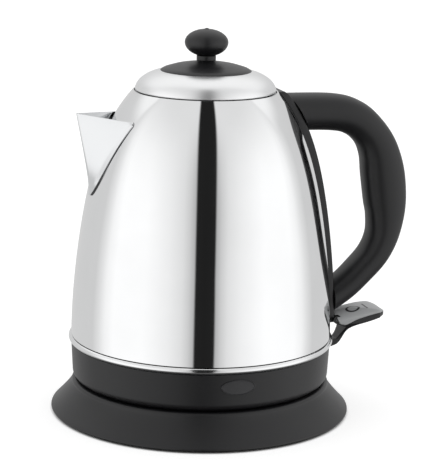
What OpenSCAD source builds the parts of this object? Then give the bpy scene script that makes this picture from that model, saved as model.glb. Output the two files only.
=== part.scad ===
// Cordless electric kettle: polished steel jug with a vee spout, lift-off lid and loop handle,
// standing on a round power base.
// The origin is on the jug's axis in the plane of the rubber foot. +Z is up, the spout points
// to -X and the handle to +X.

/* [Power base] */
// Largest radius of the power base
base_r = 88.1; // [84:0.1:96]
// Radius of the base at its top edge
base_neck_r = 76; // [73:0.2:77]
// Height of the base's top face above the table
base_h = 19.2; // [17.6:0.2:24]
// Wall of the base moulding
base_wall = 2.2; // [1.6:0.1:3]
// Radius of the rounded lip at the foot of the base
base_lip_r = 1.1; // [0.8:0.1:1.6]
// How far the rubber foot lifts the base off the table
foot_lift = 0.6; // [0.6:0.1:1.2]
// Width of the rubber foot ring
foot_w = 6; // [4:0.5:10]
// Radius of the connector hub
hub_r = 16.5; // [15.5:0.25:18]
// Height of the connector hub above the base's top face
hub_rise = 15.8; // [13:0.2:17]
// Radius of the power cord that the gland takes
cord_r = 3.4; // [3:0.1:4]

/* [Jug] */
// Outer radius of the jug at its foot
jug_r = 76.5; // [74:0.25:82]
// Height of the steel jug from foot to rim
jug_h = 143.8; // [125:0.5:165]
// Outer radius of the jug at its rim
rim_r = 42.1; // [42:0.1:48]
// Thickness of the steel sheet
sheet = 0.8; // [0.6:0.1:1.2]
// Width of the ledge inside the rim that carries the lid
ledge_w = 4.3; // [3:0.1:7]
// Height of the black foot collar
collar_h = 22.4; // [20:0.2:26]
// Height of the steel trim ring
ring_h = 3.7; // [2.4:0.1:5]
// How far the trim ring stands out past the jug
ring_out = 1.5; // [0.8:0.1:2.5]
// Height of the jug's floor above the jug's bottom edge
floor_rise = 13.5; // [13:0.5:20]

/* [Spout] */
// Height of the spout's top edge where it meets the jug
spout_top = 129.5; // [120:0.5:131]
// Height of the spout from its lowest point to its top edge
spout_h = 45; // [36:0.5:50]
// Half of the spout's width at the outer edge of its flange
spout_half_w = 22.8; // [16:0.2:24]
// Width of the spout's flange on the jug
flange_w = 2.8; // [2:0.2:4]
// How far the spout's tip reaches out past the jug's foot
spout_out = 0.7; // [-3:0.1:8]
// How far the tip rises above the spout's top edge
spout_tip_rise = 2.9; // [0:0.1:5]

/* [Handle] */
// Width of the spine that runs down the jug
spine_w = 20; // [18:0.5:26]
// Depth of the spine off the jug's wall
spine_t = 4; // [4:0.2:7]
// Wall of the spine's steam duct
duct_wall = 1.6; // [1.2:0.1:2]
// Width of the grip across the hand
grip_w = 24; // [20:0.5:30]
// How far the grip's middle stands out past the jug's foot
grip_out = 37.4; // [34:0.2:48]
// Depth of the grip at the palm
grip_t = 26.6; // [22:0.2:30]

/* [Switch] */
// Reach of the lever's tip from its pivot
lever_reach = 31.5; // [28:0.5:36]
// Width of the lever's paddle
lever_w = 23; // [20:0.5:28]
// Radius of the lever's pivot pin
pin_r = 1; // [0.8:0.1:1.3]

/* [Lid] */
// Clearance between the lid's dome and the jug's rim
lid_gap = 0.4; // [0.2:0.05:0.8]
// Height of the dome above its straight edge
dome_h = 12.2; // [9:0.2:16]
// Radius of the black cap on the dome
cap_r = 26.3; // [22:0.1:30]
// Height of the cap above the dome
cap_h = 5.3; // [4:0.1:8]
// Largest radius of the knob
knob_r = 12.55; // [10:0.05:16]
// Height of the knob
knob_h = 15; // [12:0.5:20]
// Radius of the neck under the knob
neck_r = 5.5; // [4.5:0.1:7]
// Height of the band round the neck
neck_h = 3.1; // [2:0.1:5]

/* [Hidden] */

$fn = 96;
steel = [0.83, 0.84, 0.85];
black = [0.13, 0.13, 0.14];
grey = [0.62, 0.64, 0.65];
brass = [0.78, 0.62, 0.30];
rubber = [0.08, 0.08, 0.08];
gap = 0.3;             // clearance between pieces that part or turn
fit = 0.05;            // radial clearance of a screw, a pin or a seated piece
eps = 0.01;            // overrun of a cut past the face that it opens
curve_steps = 36;      // segments along a turned outline

// Heights, from the table up
collar_z = base_h + gap;
ring_z = collar_z + collar_h;
seam = 0.4;                              // dark line between the trim ring and the jug
jug_z = ring_z + ring_h + seam;
rim_z = jug_z + jug_h;
floor_z = jug_z + floor_rise;

// Turned outline of the jug: a long gentle bulge and a tighter shoulder
bulge_share = 0.65;
bulge_power = 1.8;
shoulder_power = 7.2;
function jug_radius(z) =
    let (t = min(max((z - jug_z) / jug_h, 0), 1))
    jug_r - (jug_r - rim_r) * (bulge_share * pow(t, bulge_power)
                               + (1 - bulge_share) * pow(t, shoulder_power));
function jug_line(z0, z1, grow, n = curve_steps) =
    [for (i = [0:n]) let (z = z0 + (z1 - z0) * i / n) [jug_radius(z) + grow, z]];
function reversed(list) = [for (i = [len(list) - 1:-1:0]) list[i]];
function arc(cx, cy, r, a0, a1, n = 8) =
    [for (i = [0:n]) let (a = a0 + (a1 - a0) * i / n) [cx + r * cos(a), cy + r * sin(a)]];

// A smooth curve through a list of points (Catmull-Rom), n steps between neighbours
function bend(p, t, a) =
    let (p0 = p[max(a - 1, 0)], p1 = p[a], p2 = p[a + 1], p3 = p[min(a + 2, len(p) - 1)])
    (2 * p1 + (p2 - p0) * t + (2 * p0 - 5 * p1 + 4 * p2 - p3) * t * t
     + (3 * p1 - p0 - 3 * p2 + p3) * t * t * t) / 2;
function smooth(p, n) =
    concat([for (a = [0:len(p) - 2]) for (i = [0:n - 1]) bend(p, i / n, a)], [p[len(p) - 1]]);

module turned(points) {
    rotate_extrude() polygon(points);
}
module tube(r_out, r_in, z0, z1) {
    translate([0, 0, z0]) difference() {
        cylinder(r = r_out, h = z1 - z0);
        translate([0, 0, -eps]) cylinder(r = r_in, h = z1 - z0 + 2 * eps);
    }
}
module around(count, radius, start = 0) {
    for (i = [0:count - 1]) rotate([0, 0, start + 360 * i / count])
        translate([radius, 0, 0]) children();
}
// A cylinder along +X from x0 to x1 at height z
module along_x(r, x0, x1, z, y = 0) {
    translate([x0, y, z]) rotate([0, 90, 0]) cylinder(r = r, h = x1 - x0);
}
// A screw that points up: its head hangs below z_head, its shank ends at z_tip
module screw_up(shank_r, head_r, head_h, z_head, z_tip) {
    translate([0, 0, z_head - head_h]) difference() {
        cylinder(r = head_r, h = head_h);
        slot_w = head_r * 0.3;
        translate([-head_r * 0.7, -slot_w / 2, -eps]) cube([head_r * 1.4, slot_w, head_h / 2]);
        translate([-slot_w / 2, -head_r * 0.7, -eps]) cube([slot_w, head_r * 1.4, head_h / 2]);
    }
    translate([0, 0, z_head]) cylinder(r = shank_r, h = z_tip - z_head);
}

// ---------------------------------------------------------------- power base
plate_t = 2;
plate_r = base_r - 2 * base_lip_r - 5 * gap;
foot_r = base_r - 19.5;                  // middle of the foot ring
foot_seat = 1;                           // depth of the groove that holds the foot ring
base_top = base_h - base_wall;           // underside of the base's top face
flare_power = 1.25;
lip_turn = 42;                           // angle on the lip where the flare meets it
edge_r = 2.2;                            // rounding of the base's top edge
post_r = 3.6;
post_ring_r = foot_r - 13;
screw_r = 1.5;
screw_head_r = 2.8;
screw_head_h = 1.4;
gland_r = cord_r + 1.4;
gland_flange_r = gland_r + 0.8;
gland_z = foot_lift + plate_t + gland_flange_r + 0.1;
gland_in = base_r - 20.5;                // inner end of the gland from the axis
gland_out = base_r - 0.5;                // outer end of the gland from the axis
clamp_y = gland_in - 12;

function flare(grow, z_end) =
    let (z_top = base_h - edge_r, z_low = foot_lift + base_lip_r * (1 + sin(lip_turn)),
         r_low = base_r - base_lip_r * (1 - cos(lip_turn)))
    [for (i = [0:14]) let (s = i / 14, z = z_top - (z_top - z_low) * s)
        if (z > z_end) [base_neck_r + (r_low - base_neck_r) * pow(s, flare_power) + grow, z]];

module base_shell() {
    lip_z = foot_lift + base_lip_r;
    color(black) difference() {
        union() {
            turned(concat(
                [[hub_r + gap, base_top], [hub_r + gap, base_h]],
                arc(base_neck_r - edge_r, base_h - edge_r, edge_r, 90, 12, 6),
                flare(0, 0),
                arc(base_r - base_lip_r, lip_z, base_lip_r, lip_turn, -90),
                [[plate_r + gap, foot_lift], [plate_r + gap, lip_z]],
                reversed(flare(-base_wall, lip_z + 1)),
                [[base_neck_r - base_wall - edge_r, base_top]]));
            around(3, post_ring_r, 60) translate([0, 0, foot_lift + plate_t])
                cylinder(r = post_r, h = base_top - foot_lift - plate_t + eps);
        }
        around(3, post_ring_r, 60) translate([0, 0, foot_lift])
            cylinder(r = screw_r + fit, h = 12);
        gland_hole(fit);
    }
}

module gland_hole(clear) {
    translate([0, gland_in - 2, gland_z]) rotate([-90, 0, 0])
        cylinder(r = gland_r + clear, h = gland_out - gland_in + 4);
}

module base_plate() {
    color(black) difference() {
        translate([0, 0, foot_lift]) cylinder(r = plate_r, h = plate_t);
        tube(foot_r + foot_w / 2, foot_r - foot_w / 2, foot_lift - 1, foot_lift + foot_seat);
        around(3, post_ring_r, 60) translate([0, 0, foot_lift - 1]) {
            cylinder(r = screw_r + fit, h = plate_t + 2);
            cylinder(r = screw_head_r + fit, h = screw_head_h + 1);
        }
        for (side = [-1, 1]) translate([side * clamp_screw_x, clamp_y, foot_lift - 1])
            cylinder(r = screw_r + fit, h = plate_t + 2);
    }
}

module foot_ring() {
    color(rubber) tube(foot_r + foot_w / 2 - fit, foot_r - foot_w / 2 + fit, 0, foot_lift + foot_seat);
}

module base_screws() {
    color(steel) around(3, post_ring_r, 60)
        screw_up(screw_r, screw_head_r, screw_head_h, foot_lift + screw_head_h, foot_lift + 11);
}

// Concentric slots in the hub take the jug's pin and two ring contacts
hub_z = foot_lift + plate_t + 3;
hub_top = base_h + hub_rise;
hub_flange_r = hub_r + 5;
hub_flange_t = 3;
slot_depth = hub_rise;
pin_hole_r = 3;
slot_w = 2.4;
ring_contact_r = [7.8, 12.5];            // middle radius of each ring contact
ring_contact_t = 1.2;
contact_post_r = 1;

module base_hub() {
    color(black) difference() {
        union() {
            translate([0, 0, hub_z]) cylinder(r = hub_r, h = hub_top - hub_z);
            translate([0, 0, base_top - hub_flange_t]) cylinder(r = hub_flange_r, h = hub_flange_t);
        }
        translate([0, 0, hub_top - slot_depth]) cylinder(r = pin_hole_r, h = slot_depth + 1);
        for (r = ring_contact_r) tube(r + slot_w / 2, r - slot_w / 2, hub_top - slot_depth, hub_top + 1);
        for (x = concat([0], ring_contact_r)) translate([x, 0, hub_z - 1])
            cylinder(r = contact_post_r + fit, h = hub_top - slot_depth - hub_z + 2);
    }
}

module base_contacts() {
    color(brass) for (x = concat([0], ring_contact_r)) translate([x, 0, hub_z - 2])
        cylinder(r = contact_post_r, h = hub_top - slot_depth - hub_z + 3);
}

module cord_gland() {
    color(black) difference() {
        union() {
            translate([0, gland_in, gland_z]) rotate([-90, 0, 0])
                cylinder(r = gland_r, h = gland_out - gland_in);
            translate([0, gland_in, gland_z]) rotate([-90, 0, 0])
                cylinder(r = gland_flange_r, h = 2);
        }
        translate([0, gland_in - 1, gland_z]) rotate([-90, 0, 0])
            cylinder(r = cord_r, h = gland_out - gland_in + 2);
    }
}

clamp_screw_x = cord_r + 4.5;
clamp_t = 7;                             // length of the clamp along the cord
clamp_top = gland_z + cord_r + 1.5;
clamp_seat = foot_lift + plate_t;
module cord_clamp() {
    color(black) difference() {
        translate([-clamp_screw_x - 4, clamp_y - clamp_t / 2, clamp_seat])
            cube([2 * clamp_screw_x + 8, clamp_t, clamp_top - clamp_seat]);
        translate([0, clamp_y - clamp_t, gland_z]) rotate([-90, 0, 0])
            cylinder(r = cord_r, h = 2 * clamp_t);
        for (side = [-1, 1]) translate([side * clamp_screw_x, clamp_y, clamp_seat - 1])
            cylinder(r = screw_r + fit, h = clamp_top);
    }
}

module clamp_screws() {
    color(steel) for (side = [-1, 1]) translate([side * clamp_screw_x, clamp_y, clamp_top])
        rotate([180, 0, 0]) screw_up(screw_r, screw_head_r, screw_head_h, 0, clamp_top - foot_lift);
}

// ---------------------------------------------------------------- turning connector
well_r = hub_r + 1.1;                    // bore of the well that drops over the hub
well_wall = 2;
well_top = hub_top + 3;
flange_z = well_top + gap;
flange_t = 2;
connector_r = well_r - gap;
tongue_z = hub_top - slot_depth + 2.5;   // lower ends of the pin and rings
plug_face_z = hub_top + 1.2;

module kettle_connector() {
    color(black) difference() {
        union() {
            translate([0, 0, plug_face_z]) cylinder(r = connector_r, h = flange_z + flange_t - plug_face_z);
            translate([0, 0, flange_z]) cylinder(r = well_r + well_wall, h = flange_t);
        }
        translate([0, 0, plug_face_z - 1]) cylinder(r = connector_pin_r + fit, h = 3);
        for (r = ring_contact_r)
            tube(r + ring_contact_t / 2 + fit, r - ring_contact_t / 2 - fit,
                 plug_face_z - 1, plug_face_z + 2);
    }
}

module connector_rings() {
    color(brass) for (r = ring_contact_r)
        tube(r + ring_contact_t / 2, r - ring_contact_t / 2, tongue_z, plug_face_z + 2);
}

connector_pin_r = 2.4;
module connector_pin() {
    color(brass) translate([0, 0, tongue_z + 1]) {
        cylinder(r = connector_pin_r, h = plug_face_z + 1 - tongue_z);
        sphere(r = connector_pin_r);
    }
}

// ---------------------------------------------------------------- jug
ledge_drop = 1.6;                        // depth of the lid's seat below the rim
ledge_z = rim_z - ledge_drop;
mouth_r = rim_r - sheet - ledge_w;
steam_r = 2.8;                           // radius of the steam hole in the jug's wall
steam_z = rim_z - 28;
top_screw_z = rim_z - 20;
low_screw_z = jug_z + 9.4;
steam_out_r = 1.5;
steam_out_y = 5.6;                       // the two outlet holes lie either side of the lower screw
handle_screw_r = 1.75;
strainer_r = 1.6;
strainer_pitch = 5.2;
strainer_rows = 7;
strainer_drop = 5.2;                     // first row of holes below the spout's top edge

module strainer_holes() {
    row_top = jug_z + spout_top - strainer_drop;
    for (row = [0:strainer_rows - 1]) {
        z = row_top - row * strainer_pitch;
        count = strainer_rows - row;
        step = strainer_pitch / jug_radius(z) * 180 / PI;
        for (i = [0:count - 1]) rotate([0, 0, 180 + (i - (count - 1) / 2) * step])
            along_x(strainer_r, jug_radius(z) - 8, jug_radius(z) + 8, z);
    }
}

module vessel() {
    color(steel) difference() {
        turned(concat(
            jug_line(jug_z, rim_z - 0.3, 0),
            [[rim_r - 0.2, rim_z], [rim_r - sheet, rim_z], [rim_r - sheet, ledge_z],
             [mouth_r, ledge_z], [mouth_r, ledge_z - sheet]],
            reversed(jug_line(jug_z, ledge_z - sheet, -sheet))));
        along_x(steam_r, jug_radius(steam_z) - 6, jug_radius(steam_z) + 6, steam_z);
        along_x(handle_screw_r + fit, 0, jug_r + 5, top_screw_z);
        along_x(handle_screw_r + fit, 0, jug_r + 5, low_screw_z);
        for (side = [-1, 1]) along_x(steam_out_r, 0, jug_r + 5, low_screw_z, side * steam_out_y);
        strainer_holes();
    }
}

// The spout's walls run straight from a rounded keel to a crease, and a narrow flange carries
// them down onto the jug. t runs from the top edge (0) to the flange's lowest point (1).
seam_power = 1.25;
seam_root = 0.6;
corner_t = 0.05;
keel_end = 0.885;                        // where the keel meets the flange
keel_round = 2.2;
crease_lift = 1.9;                       // height of the crease off the jug
crease_taper = 0.8;
spout_stations = [0, 0.02, 0.05, 0.12, 0.22, 0.34, 0.46, 0.58, 0.68, 0.76, 0.81, 0.85, 0.88, 0.91,
                  0.94, 0.97, 0.99];
spout_z = jug_z + spout_top;
spout_reach = jug_r + spout_out;
function seam_half(t) =
    spout_half_w * pow(1 - pow(t, seam_power), seam_root)
    * (1 - 0.08 * pow(max(1 - t / corner_t, 0), 2));
function crease_half(t) =
    max(min((spout_half_w - flange_w + 0.6) * (1 - crease_taper * t),
            7.5 * sqrt(max(keel_end - t, 0) / 0.08)), 0.24);
function on_jug(t, y, grow) =
    let (z = spout_z - spout_h * t, r = jug_radius(z) + grow) [-sqrt(r * r - y * y), y, z];
function keel_x(t) =
    let (z1 = spout_z - spout_h * keel_end, x1 = jug_radius(z1) + crease_lift)
    spout_reach + (x1 - spout_reach) * t / keel_end;
function keel_point(t, inset) =
    let (z = spout_z - spout_h * t + spout_tip_rise * max(1 - t / keel_end, 0),
         x = t < keel_end ? keel_x(t)
             : jug_radius(z) + crease_lift * (1 - 0.5 * (t - keel_end) / (1 - keel_end)))
    [-(x - inset), 0, z];
// Seven points across the spout at one station
function vee(t, inset) =
    let (k = keel_point(t, inset), c = max(crease_half(t) - inset * (t < keel_end ? 1 : 0), 0.12),
         lift = min(crease_lift, norm([k[0], k[1]]) - jug_radius(k[2]) + inset) - inset,
         w = max(seam_half(t), c + 0.3),
         a = on_jug(t, c, lift), b = on_jug(t, -c, lift),
         ua = (a - k) / norm(a - k), ub = (b - k) / norm(b - k), s = min(keel_round, norm(a - k) / 3))
    [on_jug(t, w, sheet + 0.1 - inset), a, k + ua * s, k + (ua + ub) * s * 0.2, k + ub * s, b,
     on_jug(t, -w, sheet + 0.1 - inset)];

module spout() {
    rings = [for (t = spout_stations) concat(vee(t, 0), reversed(vee(t, sheet)))];
    color(steel) polyhedron(points = [for (r = rings) each r], faces = skin(len(rings), len(rings[0])));
}

// Faces of a closed skin over rings of equal count, capped at both ends
function skin(rings, count) = concat(
    [[for (j = [count - 1:-1:0]) j]],
    [for (i = [0:rings - 2]) for (j = [0:count - 1])
        let (a = i * count + j, b = i * count + (j + 1) % count)
            each [[a, b, b + count], [a, b + count, a + count]]],
    [[for (j = [0:count - 1]) (rings - 1) * count + j]]);

ring_in = 2.4;                           // how far the trim ring reaches under the jug's wall
module trim_ring() {
    bead = ring_h / 2;
    color(steel) turned(concat(
        [[jug_r - ring_in, ring_z]],
        arc(jug_r + ring_out - bead, ring_z + bead, bead, -90, 90),
        [[jug_r - ring_in, ring_z + ring_h]]));
}

// ---------------------------------------------------------------- foot collar and bottom
collar_top_r = jug_r + 0.1;
collar_low_r = jug_r - 0.9;
collar_wall = 2.2;
collar_round = 4.8;
housing_floor = collar_z + collar_wall;
stud_ring_r = jug_r - 11.5;
stud_r = 3;
stud_z = jug_z - 5.5;
housing_screw_r = 1.75;
housing_head_r = 3.4;
housing_head_h = 1.2;
rod_z = jug_z - 10.3;
rod_r = 2;
guide_x = [36, 60];
guide_w = 8;
guide_t = 3;

module bottom_housing() {
    round_z = collar_z + collar_round;
    color(black) difference() {
        union() {
            turned(concat(
                [[well_r + 0.5, collar_z]],
                arc(collar_low_r - collar_round, round_z, collar_round, -90, 0),
                [[collar_top_r, ring_z], [collar_top_r - collar_wall, ring_z],
                 [collar_low_r - collar_wall, round_z]],
                arc(collar_low_r - collar_round, round_z, collar_round - collar_wall, -10, -90, 5),
                [[well_r + 0.5, housing_floor]]));
            tube(well_r + well_wall, well_r, collar_z, well_top);
            around(3, stud_ring_r, 60) translate([0, 0, collar_z])
                cylinder(r = 5, h = stud_z - collar_z);
            for (x = guide_x) translate([x - guide_t / 2, -guide_w / 2, collar_z])
                cube([guide_t, guide_w, rod_z + 4 - collar_z]);
        }
        around(3, stud_ring_r, 60) translate([0, 0, collar_z - 1]) {
            cylinder(r = housing_screw_r + fit, h = collar_h);
            cylinder(r = housing_head_r + fit, h = housing_head_h + 1);
        }
        along_x(rod_r + fit, guide_x[0] - 5, guide_x[1] + 5, rod_z);
        translate([collar_low_r - 6, -toe_slot_w / 2, toe_slot_z])
            cube([20, toe_slot_w, toe_slot_h]);
        badge_shape(badge_w + 2 * fit, badge_h + 2 * fit, badge_sink, 12);
    }
}

// Bare oval badge let into the collar's side, facing -Y
badge_w = 20;
badge_h = 8.8;
badge_z = jug_z - 11.9;
badge_sink = 0.9;
badge_face_r = collar_low_r + 0.5;
module badge_shape(w, h, deep, out) {
    translate([0, -badge_face_r + deep, badge_z]) rotate([90, 0, 0])
        linear_extrude(deep + out)
            polygon([for (a = [0:7.5:352.5]) [w / 2 * cos(a), h / 2 * sin(a)]]);
}
module collar_badge() {
    color(black) intersection() {
        badge_shape(badge_w, badge_h, badge_sink, 12);
        translate([0, 0, collar_z]) cylinder(r = badge_face_r - 0.1, h = collar_h, $fn = 360);
    }
}

floor_r = jug_radius(floor_z + sheet) - sheet - fit;
module vessel_floor() {
    color(steel) translate([0, 0, floor_z]) cylinder(r = floor_r, h = sheet);
}

diffuser_r = stud_ring_r - stud_r - 5;
diffuser_t = 3;
diffuser_z = floor_z - diffuser_t;
module diffuser_plate() {
    color(grey) difference() {
        translate([0, 0, diffuser_z]) cylinder(r = diffuser_r, h = diffuser_t);
        around(3, ear_ring_r, 0) translate([0, 0, diffuser_z - 1]) cylinder(r = screw_r + fit, h = 3);
    }
}

element_r = 44;
element_tube_r = 4;
element_z = diffuser_z - element_tube_r;
element_sweep = 296;
module heating_element() {
    color(grey) rotate([0, 0, (360 - element_sweep) / 2]) translate([0, 0, element_z])
        rotate_extrude(angle = element_sweep) translate([element_r, 0]) circle(r = element_tube_r, $fn = 48);
}

terminal_r = 1.6;
terminal_l = 9;
module element_terminals() {
    color(brass) for (side = [-1, 1])
        rotate([0, 0, side * (360 - element_sweep) / 2]) translate([element_r, 0, element_z])
            rotate([side * 90, 0, 0]) cylinder(r = terminal_r, h = terminal_l);
}

ear_ring_r = 27;
ear_r = 4.5;
ear_t = 2.5;
control_r = 21;
control_z = flange_z + flange_t + gap;
control_top = diffuser_z - 1.5;
module thermostat_body() {
    color("ivory") difference() {
        union() {
            translate([0, 0, control_z]) cylinder(r = control_r, h = control_top - control_z);
            around(3, ear_ring_r, 0) translate([0, 0, diffuser_z - ear_t]) cylinder(r = ear_r, h = ear_t);
            around(3, 0, 0) translate([control_r - 4, -ear_r + 1, diffuser_z - ear_t])
                cube([ear_ring_r - control_r + 3, 2 * ear_r - 2, control_top - diffuser_z + ear_t]);
        }
        around(3, ear_ring_r, 0) translate([0, 0, control_z]) cylinder(r = screw_r + fit, h = 30);
    }
}

module bimetal_discs() {
    color(steel) for (side = [-1, 1]) translate([0, side * 9.5, control_top])
        cylinder(r = 6.5, h = 1);
}

module thermostat_screws() {
    color(steel) around(3, ear_ring_r, 0)
        screw_up(screw_r, screw_head_r, screw_head_h, diffuser_z - ear_t, diffuser_z + 1.5);
}

module floor_studs() {
    color(steel) around(3, stud_ring_r, 60) difference() {
        translate([0, 0, stud_z]) cylinder(r = stud_r, h = floor_z - stud_z);
        translate([0, 0, stud_z - eps]) cylinder(r = housing_screw_r + fit, h = 7);
    }
}

module housing_screws() {
    color(steel) around(3, stud_ring_r, 60)
        screw_up(housing_screw_r, housing_head_r, housing_head_h, collar_z + housing_head_h, stud_z + 6);
}

// ---------------------------------------------------------------- handle
spine_low = jug_z + 5.2;
spine_top = rim_z - 0.4;
duct_low = low_screw_z - 2.6;
duct_top = steam_z + 4;
pivot_x = jug_r + spine_t + 2.5;
pivot_z = jug_z + 4.4;
lug_w = 8;                               // width of the spine's hinge lug
barrel_r = 2.5;                          // radius of the lug and of the lever's knuckles
low_joint_z = jug_z + 19.6;              // where the grip's lower end meets the spine
top_joint_z = rim_z - 13.8;              // where the grip's upper end meets the spine

module spine_band(z0, z1, grow_in, grow_out, w) {
    translate([0, w / 2, 0]) rotate([90, 0, 0]) linear_extrude(w)
        polygon(concat(jug_line(z0, z1, grow_out), reversed(jug_line(z0, z1, grow_in))));
}

module handle_spine() {
    color(black) difference() {
        union() {
            spine_band(spine_low, spine_top, -3, spine_t, spine_w);
            translate([0, lug_w / 2, 0]) rotate([90, 0, 0]) linear_extrude(lug_w) {
                translate([pivot_x, pivot_z]) circle(r = barrel_r);
                polygon([[jug_r - 2, pivot_z - barrel_r - 0.2], [pivot_x, pivot_z - barrel_r],
                         [pivot_x, pivot_z + barrel_r], [pivot_x - 1.2, pivot_z + barrel_r - 0.35],
                         [jug_r + spine_t - 0.3, spine_low + 0.9], [jug_r - 2, spine_low + 0.9]]);
            }
        }
        turned(concat([[0, jug_z - 5]], jug_line(jug_z - 5, rim_z + 5, gap), [[0, rim_z + 5]]));
        difference() {
            spine_band(duct_low, duct_top, -3, spine_t - duct_wall, spine_w - 2 * duct_wall);
            along_x(3.6, 0, jug_r + 20, low_screw_z);
            along_x(3.6, 0, jug_r + 20, grip_screw_z);
        }
        along_x(handle_screw_r + fit, 0, jug_r + 20, top_screw_z);
        along_x(handle_screw_r + fit, 0, jug_r + spine_t - 0.6, low_screw_z);
        along_x(handle_screw_r + fit, 0, jug_r + 20, grip_screw_z);
        along_x(grip_screw_head_r + fit, 0, jug_radius(grip_screw_z) + 2.2, grip_screw_z);
        lever_axle(pin_r + fit, 2 * spine_w);
    }
}

// The pivot's axis, as a cylinder of a given radius and length
module lever_axle(r, l) {
    translate([pivot_x, l / 2, pivot_z]) rotate([90, 0, 0]) cylinder(r = r, h = l);
}

grip_screw_head_r = 2.8;
grip_screw_z = low_joint_z + 1;
// Stations of the grip: share of its reach, share of its height, share of its depth
grip_stations = [[0.02, 0.997, 0.82], [0.40, 0.962, 0.80], [0.67, 0.885, 0.79], [0.84, 0.785, 0.88],
                 [0.93, 0.66, 0.99], [0.985, 0.52, 0.97], [1, 0.42, 0.86], [0.955, 0.308, 0.73],
                 [0.815, 0.207, 0.665], [0.565, 0.113, 0.635], [0.285, 0.027, 0.62]];
grip_round = 20;                         // points round the grip
grip_steps = 3;                          // rings between stations
grip_square = 0.86;                      // under 1 makes the grip's section squarer than an ellipse

function grip_line() =
    let (span = top_joint_z - low_joint_z)
    concat([[jug_radius(top_joint_z) - 6.5, top_joint_z + 0.4, 0.82 * grip_t]],
           [for (s = grip_stations) [jug_r + grip_out * s[0], low_joint_z + span * s[1], grip_t * s[2]]],
           [[jug_radius(low_joint_z) - 3, low_joint_z - 6, 0.62 * grip_t]]);
// One ring of the grip: a rounded oval square to the path
function grip_ring(p, dir) =
    [for (j = [0:grip_round - 1])
        let (a = 360 * j / grip_round, c = cos(a), s = sin(a),
             u = p[2] / 2 * sign(c) * pow(abs(c), grip_square),
             v = grip_w / 2 * sign(s) * pow(abs(s), grip_square))
        [p[0] - dir[1] * u, v, p[1] + dir[0] * u]];

module grip_body() {
    line = smooth(grip_line(), grip_steps);
    n = len(line) - 1;
    rings = [for (i = [0:n])
        let (a = line[max(i - 1, 0)], b = line[min(i + 1, n)], d = [b[0] - a[0], b[1] - a[1]])
        grip_ring(line[i], d / norm(d))];
    polyhedron(points = [for (ring = rings) each ring], faces = skin(len(rings), grip_round));
}

module handle_grip() {
    color(black) difference() {
        grip_body();
        translate([0, grip_w, 0]) rotate([90, 0, 0]) linear_extrude(2 * grip_w)
            polygon(concat([[0, spine_low - 15]],
                           jug_line(spine_low - 15, spine_top + 15, spine_t + 0.05, 60),
                           [[0, spine_top + 15]]));
        along_x(handle_screw_r + fit, 0, grip_foot(top_screw_z) + 12, top_screw_z);
        along_x(handle_screw_r + fit, 0, grip_foot(grip_screw_z) + 9, grip_screw_z);
    }
}
function grip_foot(z) = jug_radius(z) + spine_t;

module screw_out(x_head, x_tip, z, head_r, head_h = 1.6) {
    translate([0, 0, z]) rotate([0, 90, 0])
        screw_up(handle_screw_r, head_r, head_h, x_head, x_tip);
}

module handle_screws() {
    color(steel) {
        screw_out(jug_radius(top_screw_z + 4) - sheet - 1.2, grip_foot(top_screw_z) + 11, top_screw_z, 3.2);
        screw_out(jug_radius(low_screw_z) - sheet - 0.2, jug_r + spine_t - 1, low_screw_z, 3);
    }
}

module grip_screw() {
    color(steel) screw_out(jug_radius(grip_screw_z) + 2.15, grip_foot(grip_screw_z) + 8, grip_screw_z,
                           grip_screw_head_r, 1.2);
}

module steam_seal() {
    color(rubber) difference() {
        along_x(steam_r - fit, jug_radius(steam_z + steam_r) - 2,
                jug_radius(steam_z - steam_r) + 0.2, steam_z);
        along_x(steam_r - 0.8, 0, jug_r, steam_z);
    }
}

module lever_pin() {
    color(steel) lever_axle(pin_r, spine_w - 2.4);
}

// ---------------------------------------------------------------- switch lever
leg_w = 9;
knuckle_end = 9;                         // outer end of each knuckle from the middle
hub_clear = barrel_r + gap;              // radius cleared round the barrel
toe_r = 2.2;
toe_x = collar_low_r - 0.6;              // centre of the toe's round end
toe_z = pivot_z - 15.6;
rod_end_x = toe_x - toe_r - gap;
toe_slot_w = leg_w + 3;
toe_slot_z = toe_z - toe_r - 1.5;
toe_slot_h = 2 * toe_r + 3.5;
crown_r = 17;                            // the paddle's top is rounded from side to side
crown_tilt = 11;
crown_z = 7.9;                           // height of the crown's top line above the pivot
insert_fit = 0.1;
paddle_start = -1.9;                     // inner end of the paddle from the pivot
knuckle_root_x = 6.4;                    // where the knuckles' arms end inside the paddle's root
knuckle_root_z = -4.4;

// Side view of the lever in millimetres from the pivot, with the paddle drawn 29 long
function lever_top() = smooth([[-1.9, 4.1], [0.6, 4.6], [4.2, 5.2], [7.2, 5.8], [11, 6.2], [16, 6.2],
                               [22, 5.8], [26.4, 4.8], [28.7, 3.2]], 4);
function lever_tip() = smooth([[29, 2], [28.2, 1.4], [25.2, 0.6], [18.7, -1.4], [12.6, -3.1], [9, -4.9],
                               [7, -7.6], [5.6, -10.8], [4, -13.6], [2, -15.9], [-1.4, -17.4]], 4);
function lever_in() = smooth([[1.4, -13], [3.6, -9.7], [5.2, -6.8], [5.4, -4.4], [3.4, -2.6], [0.9, -1.9],
                              [-0.6, 1.6]], 4);
function placed(list) =
    [for (p = list) [pivot_x + (p[0] > 10 ? 10 + (p[0] - 10) * (lever_reach - 10) / 19 : p[0]),
                     pivot_z + p[1]]];

module lever_side() {
    polygon(concat(placed(lever_top()), placed(lever_tip()),
                   [[toe_x, toe_z - toe_r], [toe_x, toe_z + toe_r]], placed(lever_in())));
    translate([toe_x, toe_z]) circle(r = toe_r);
}
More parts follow.
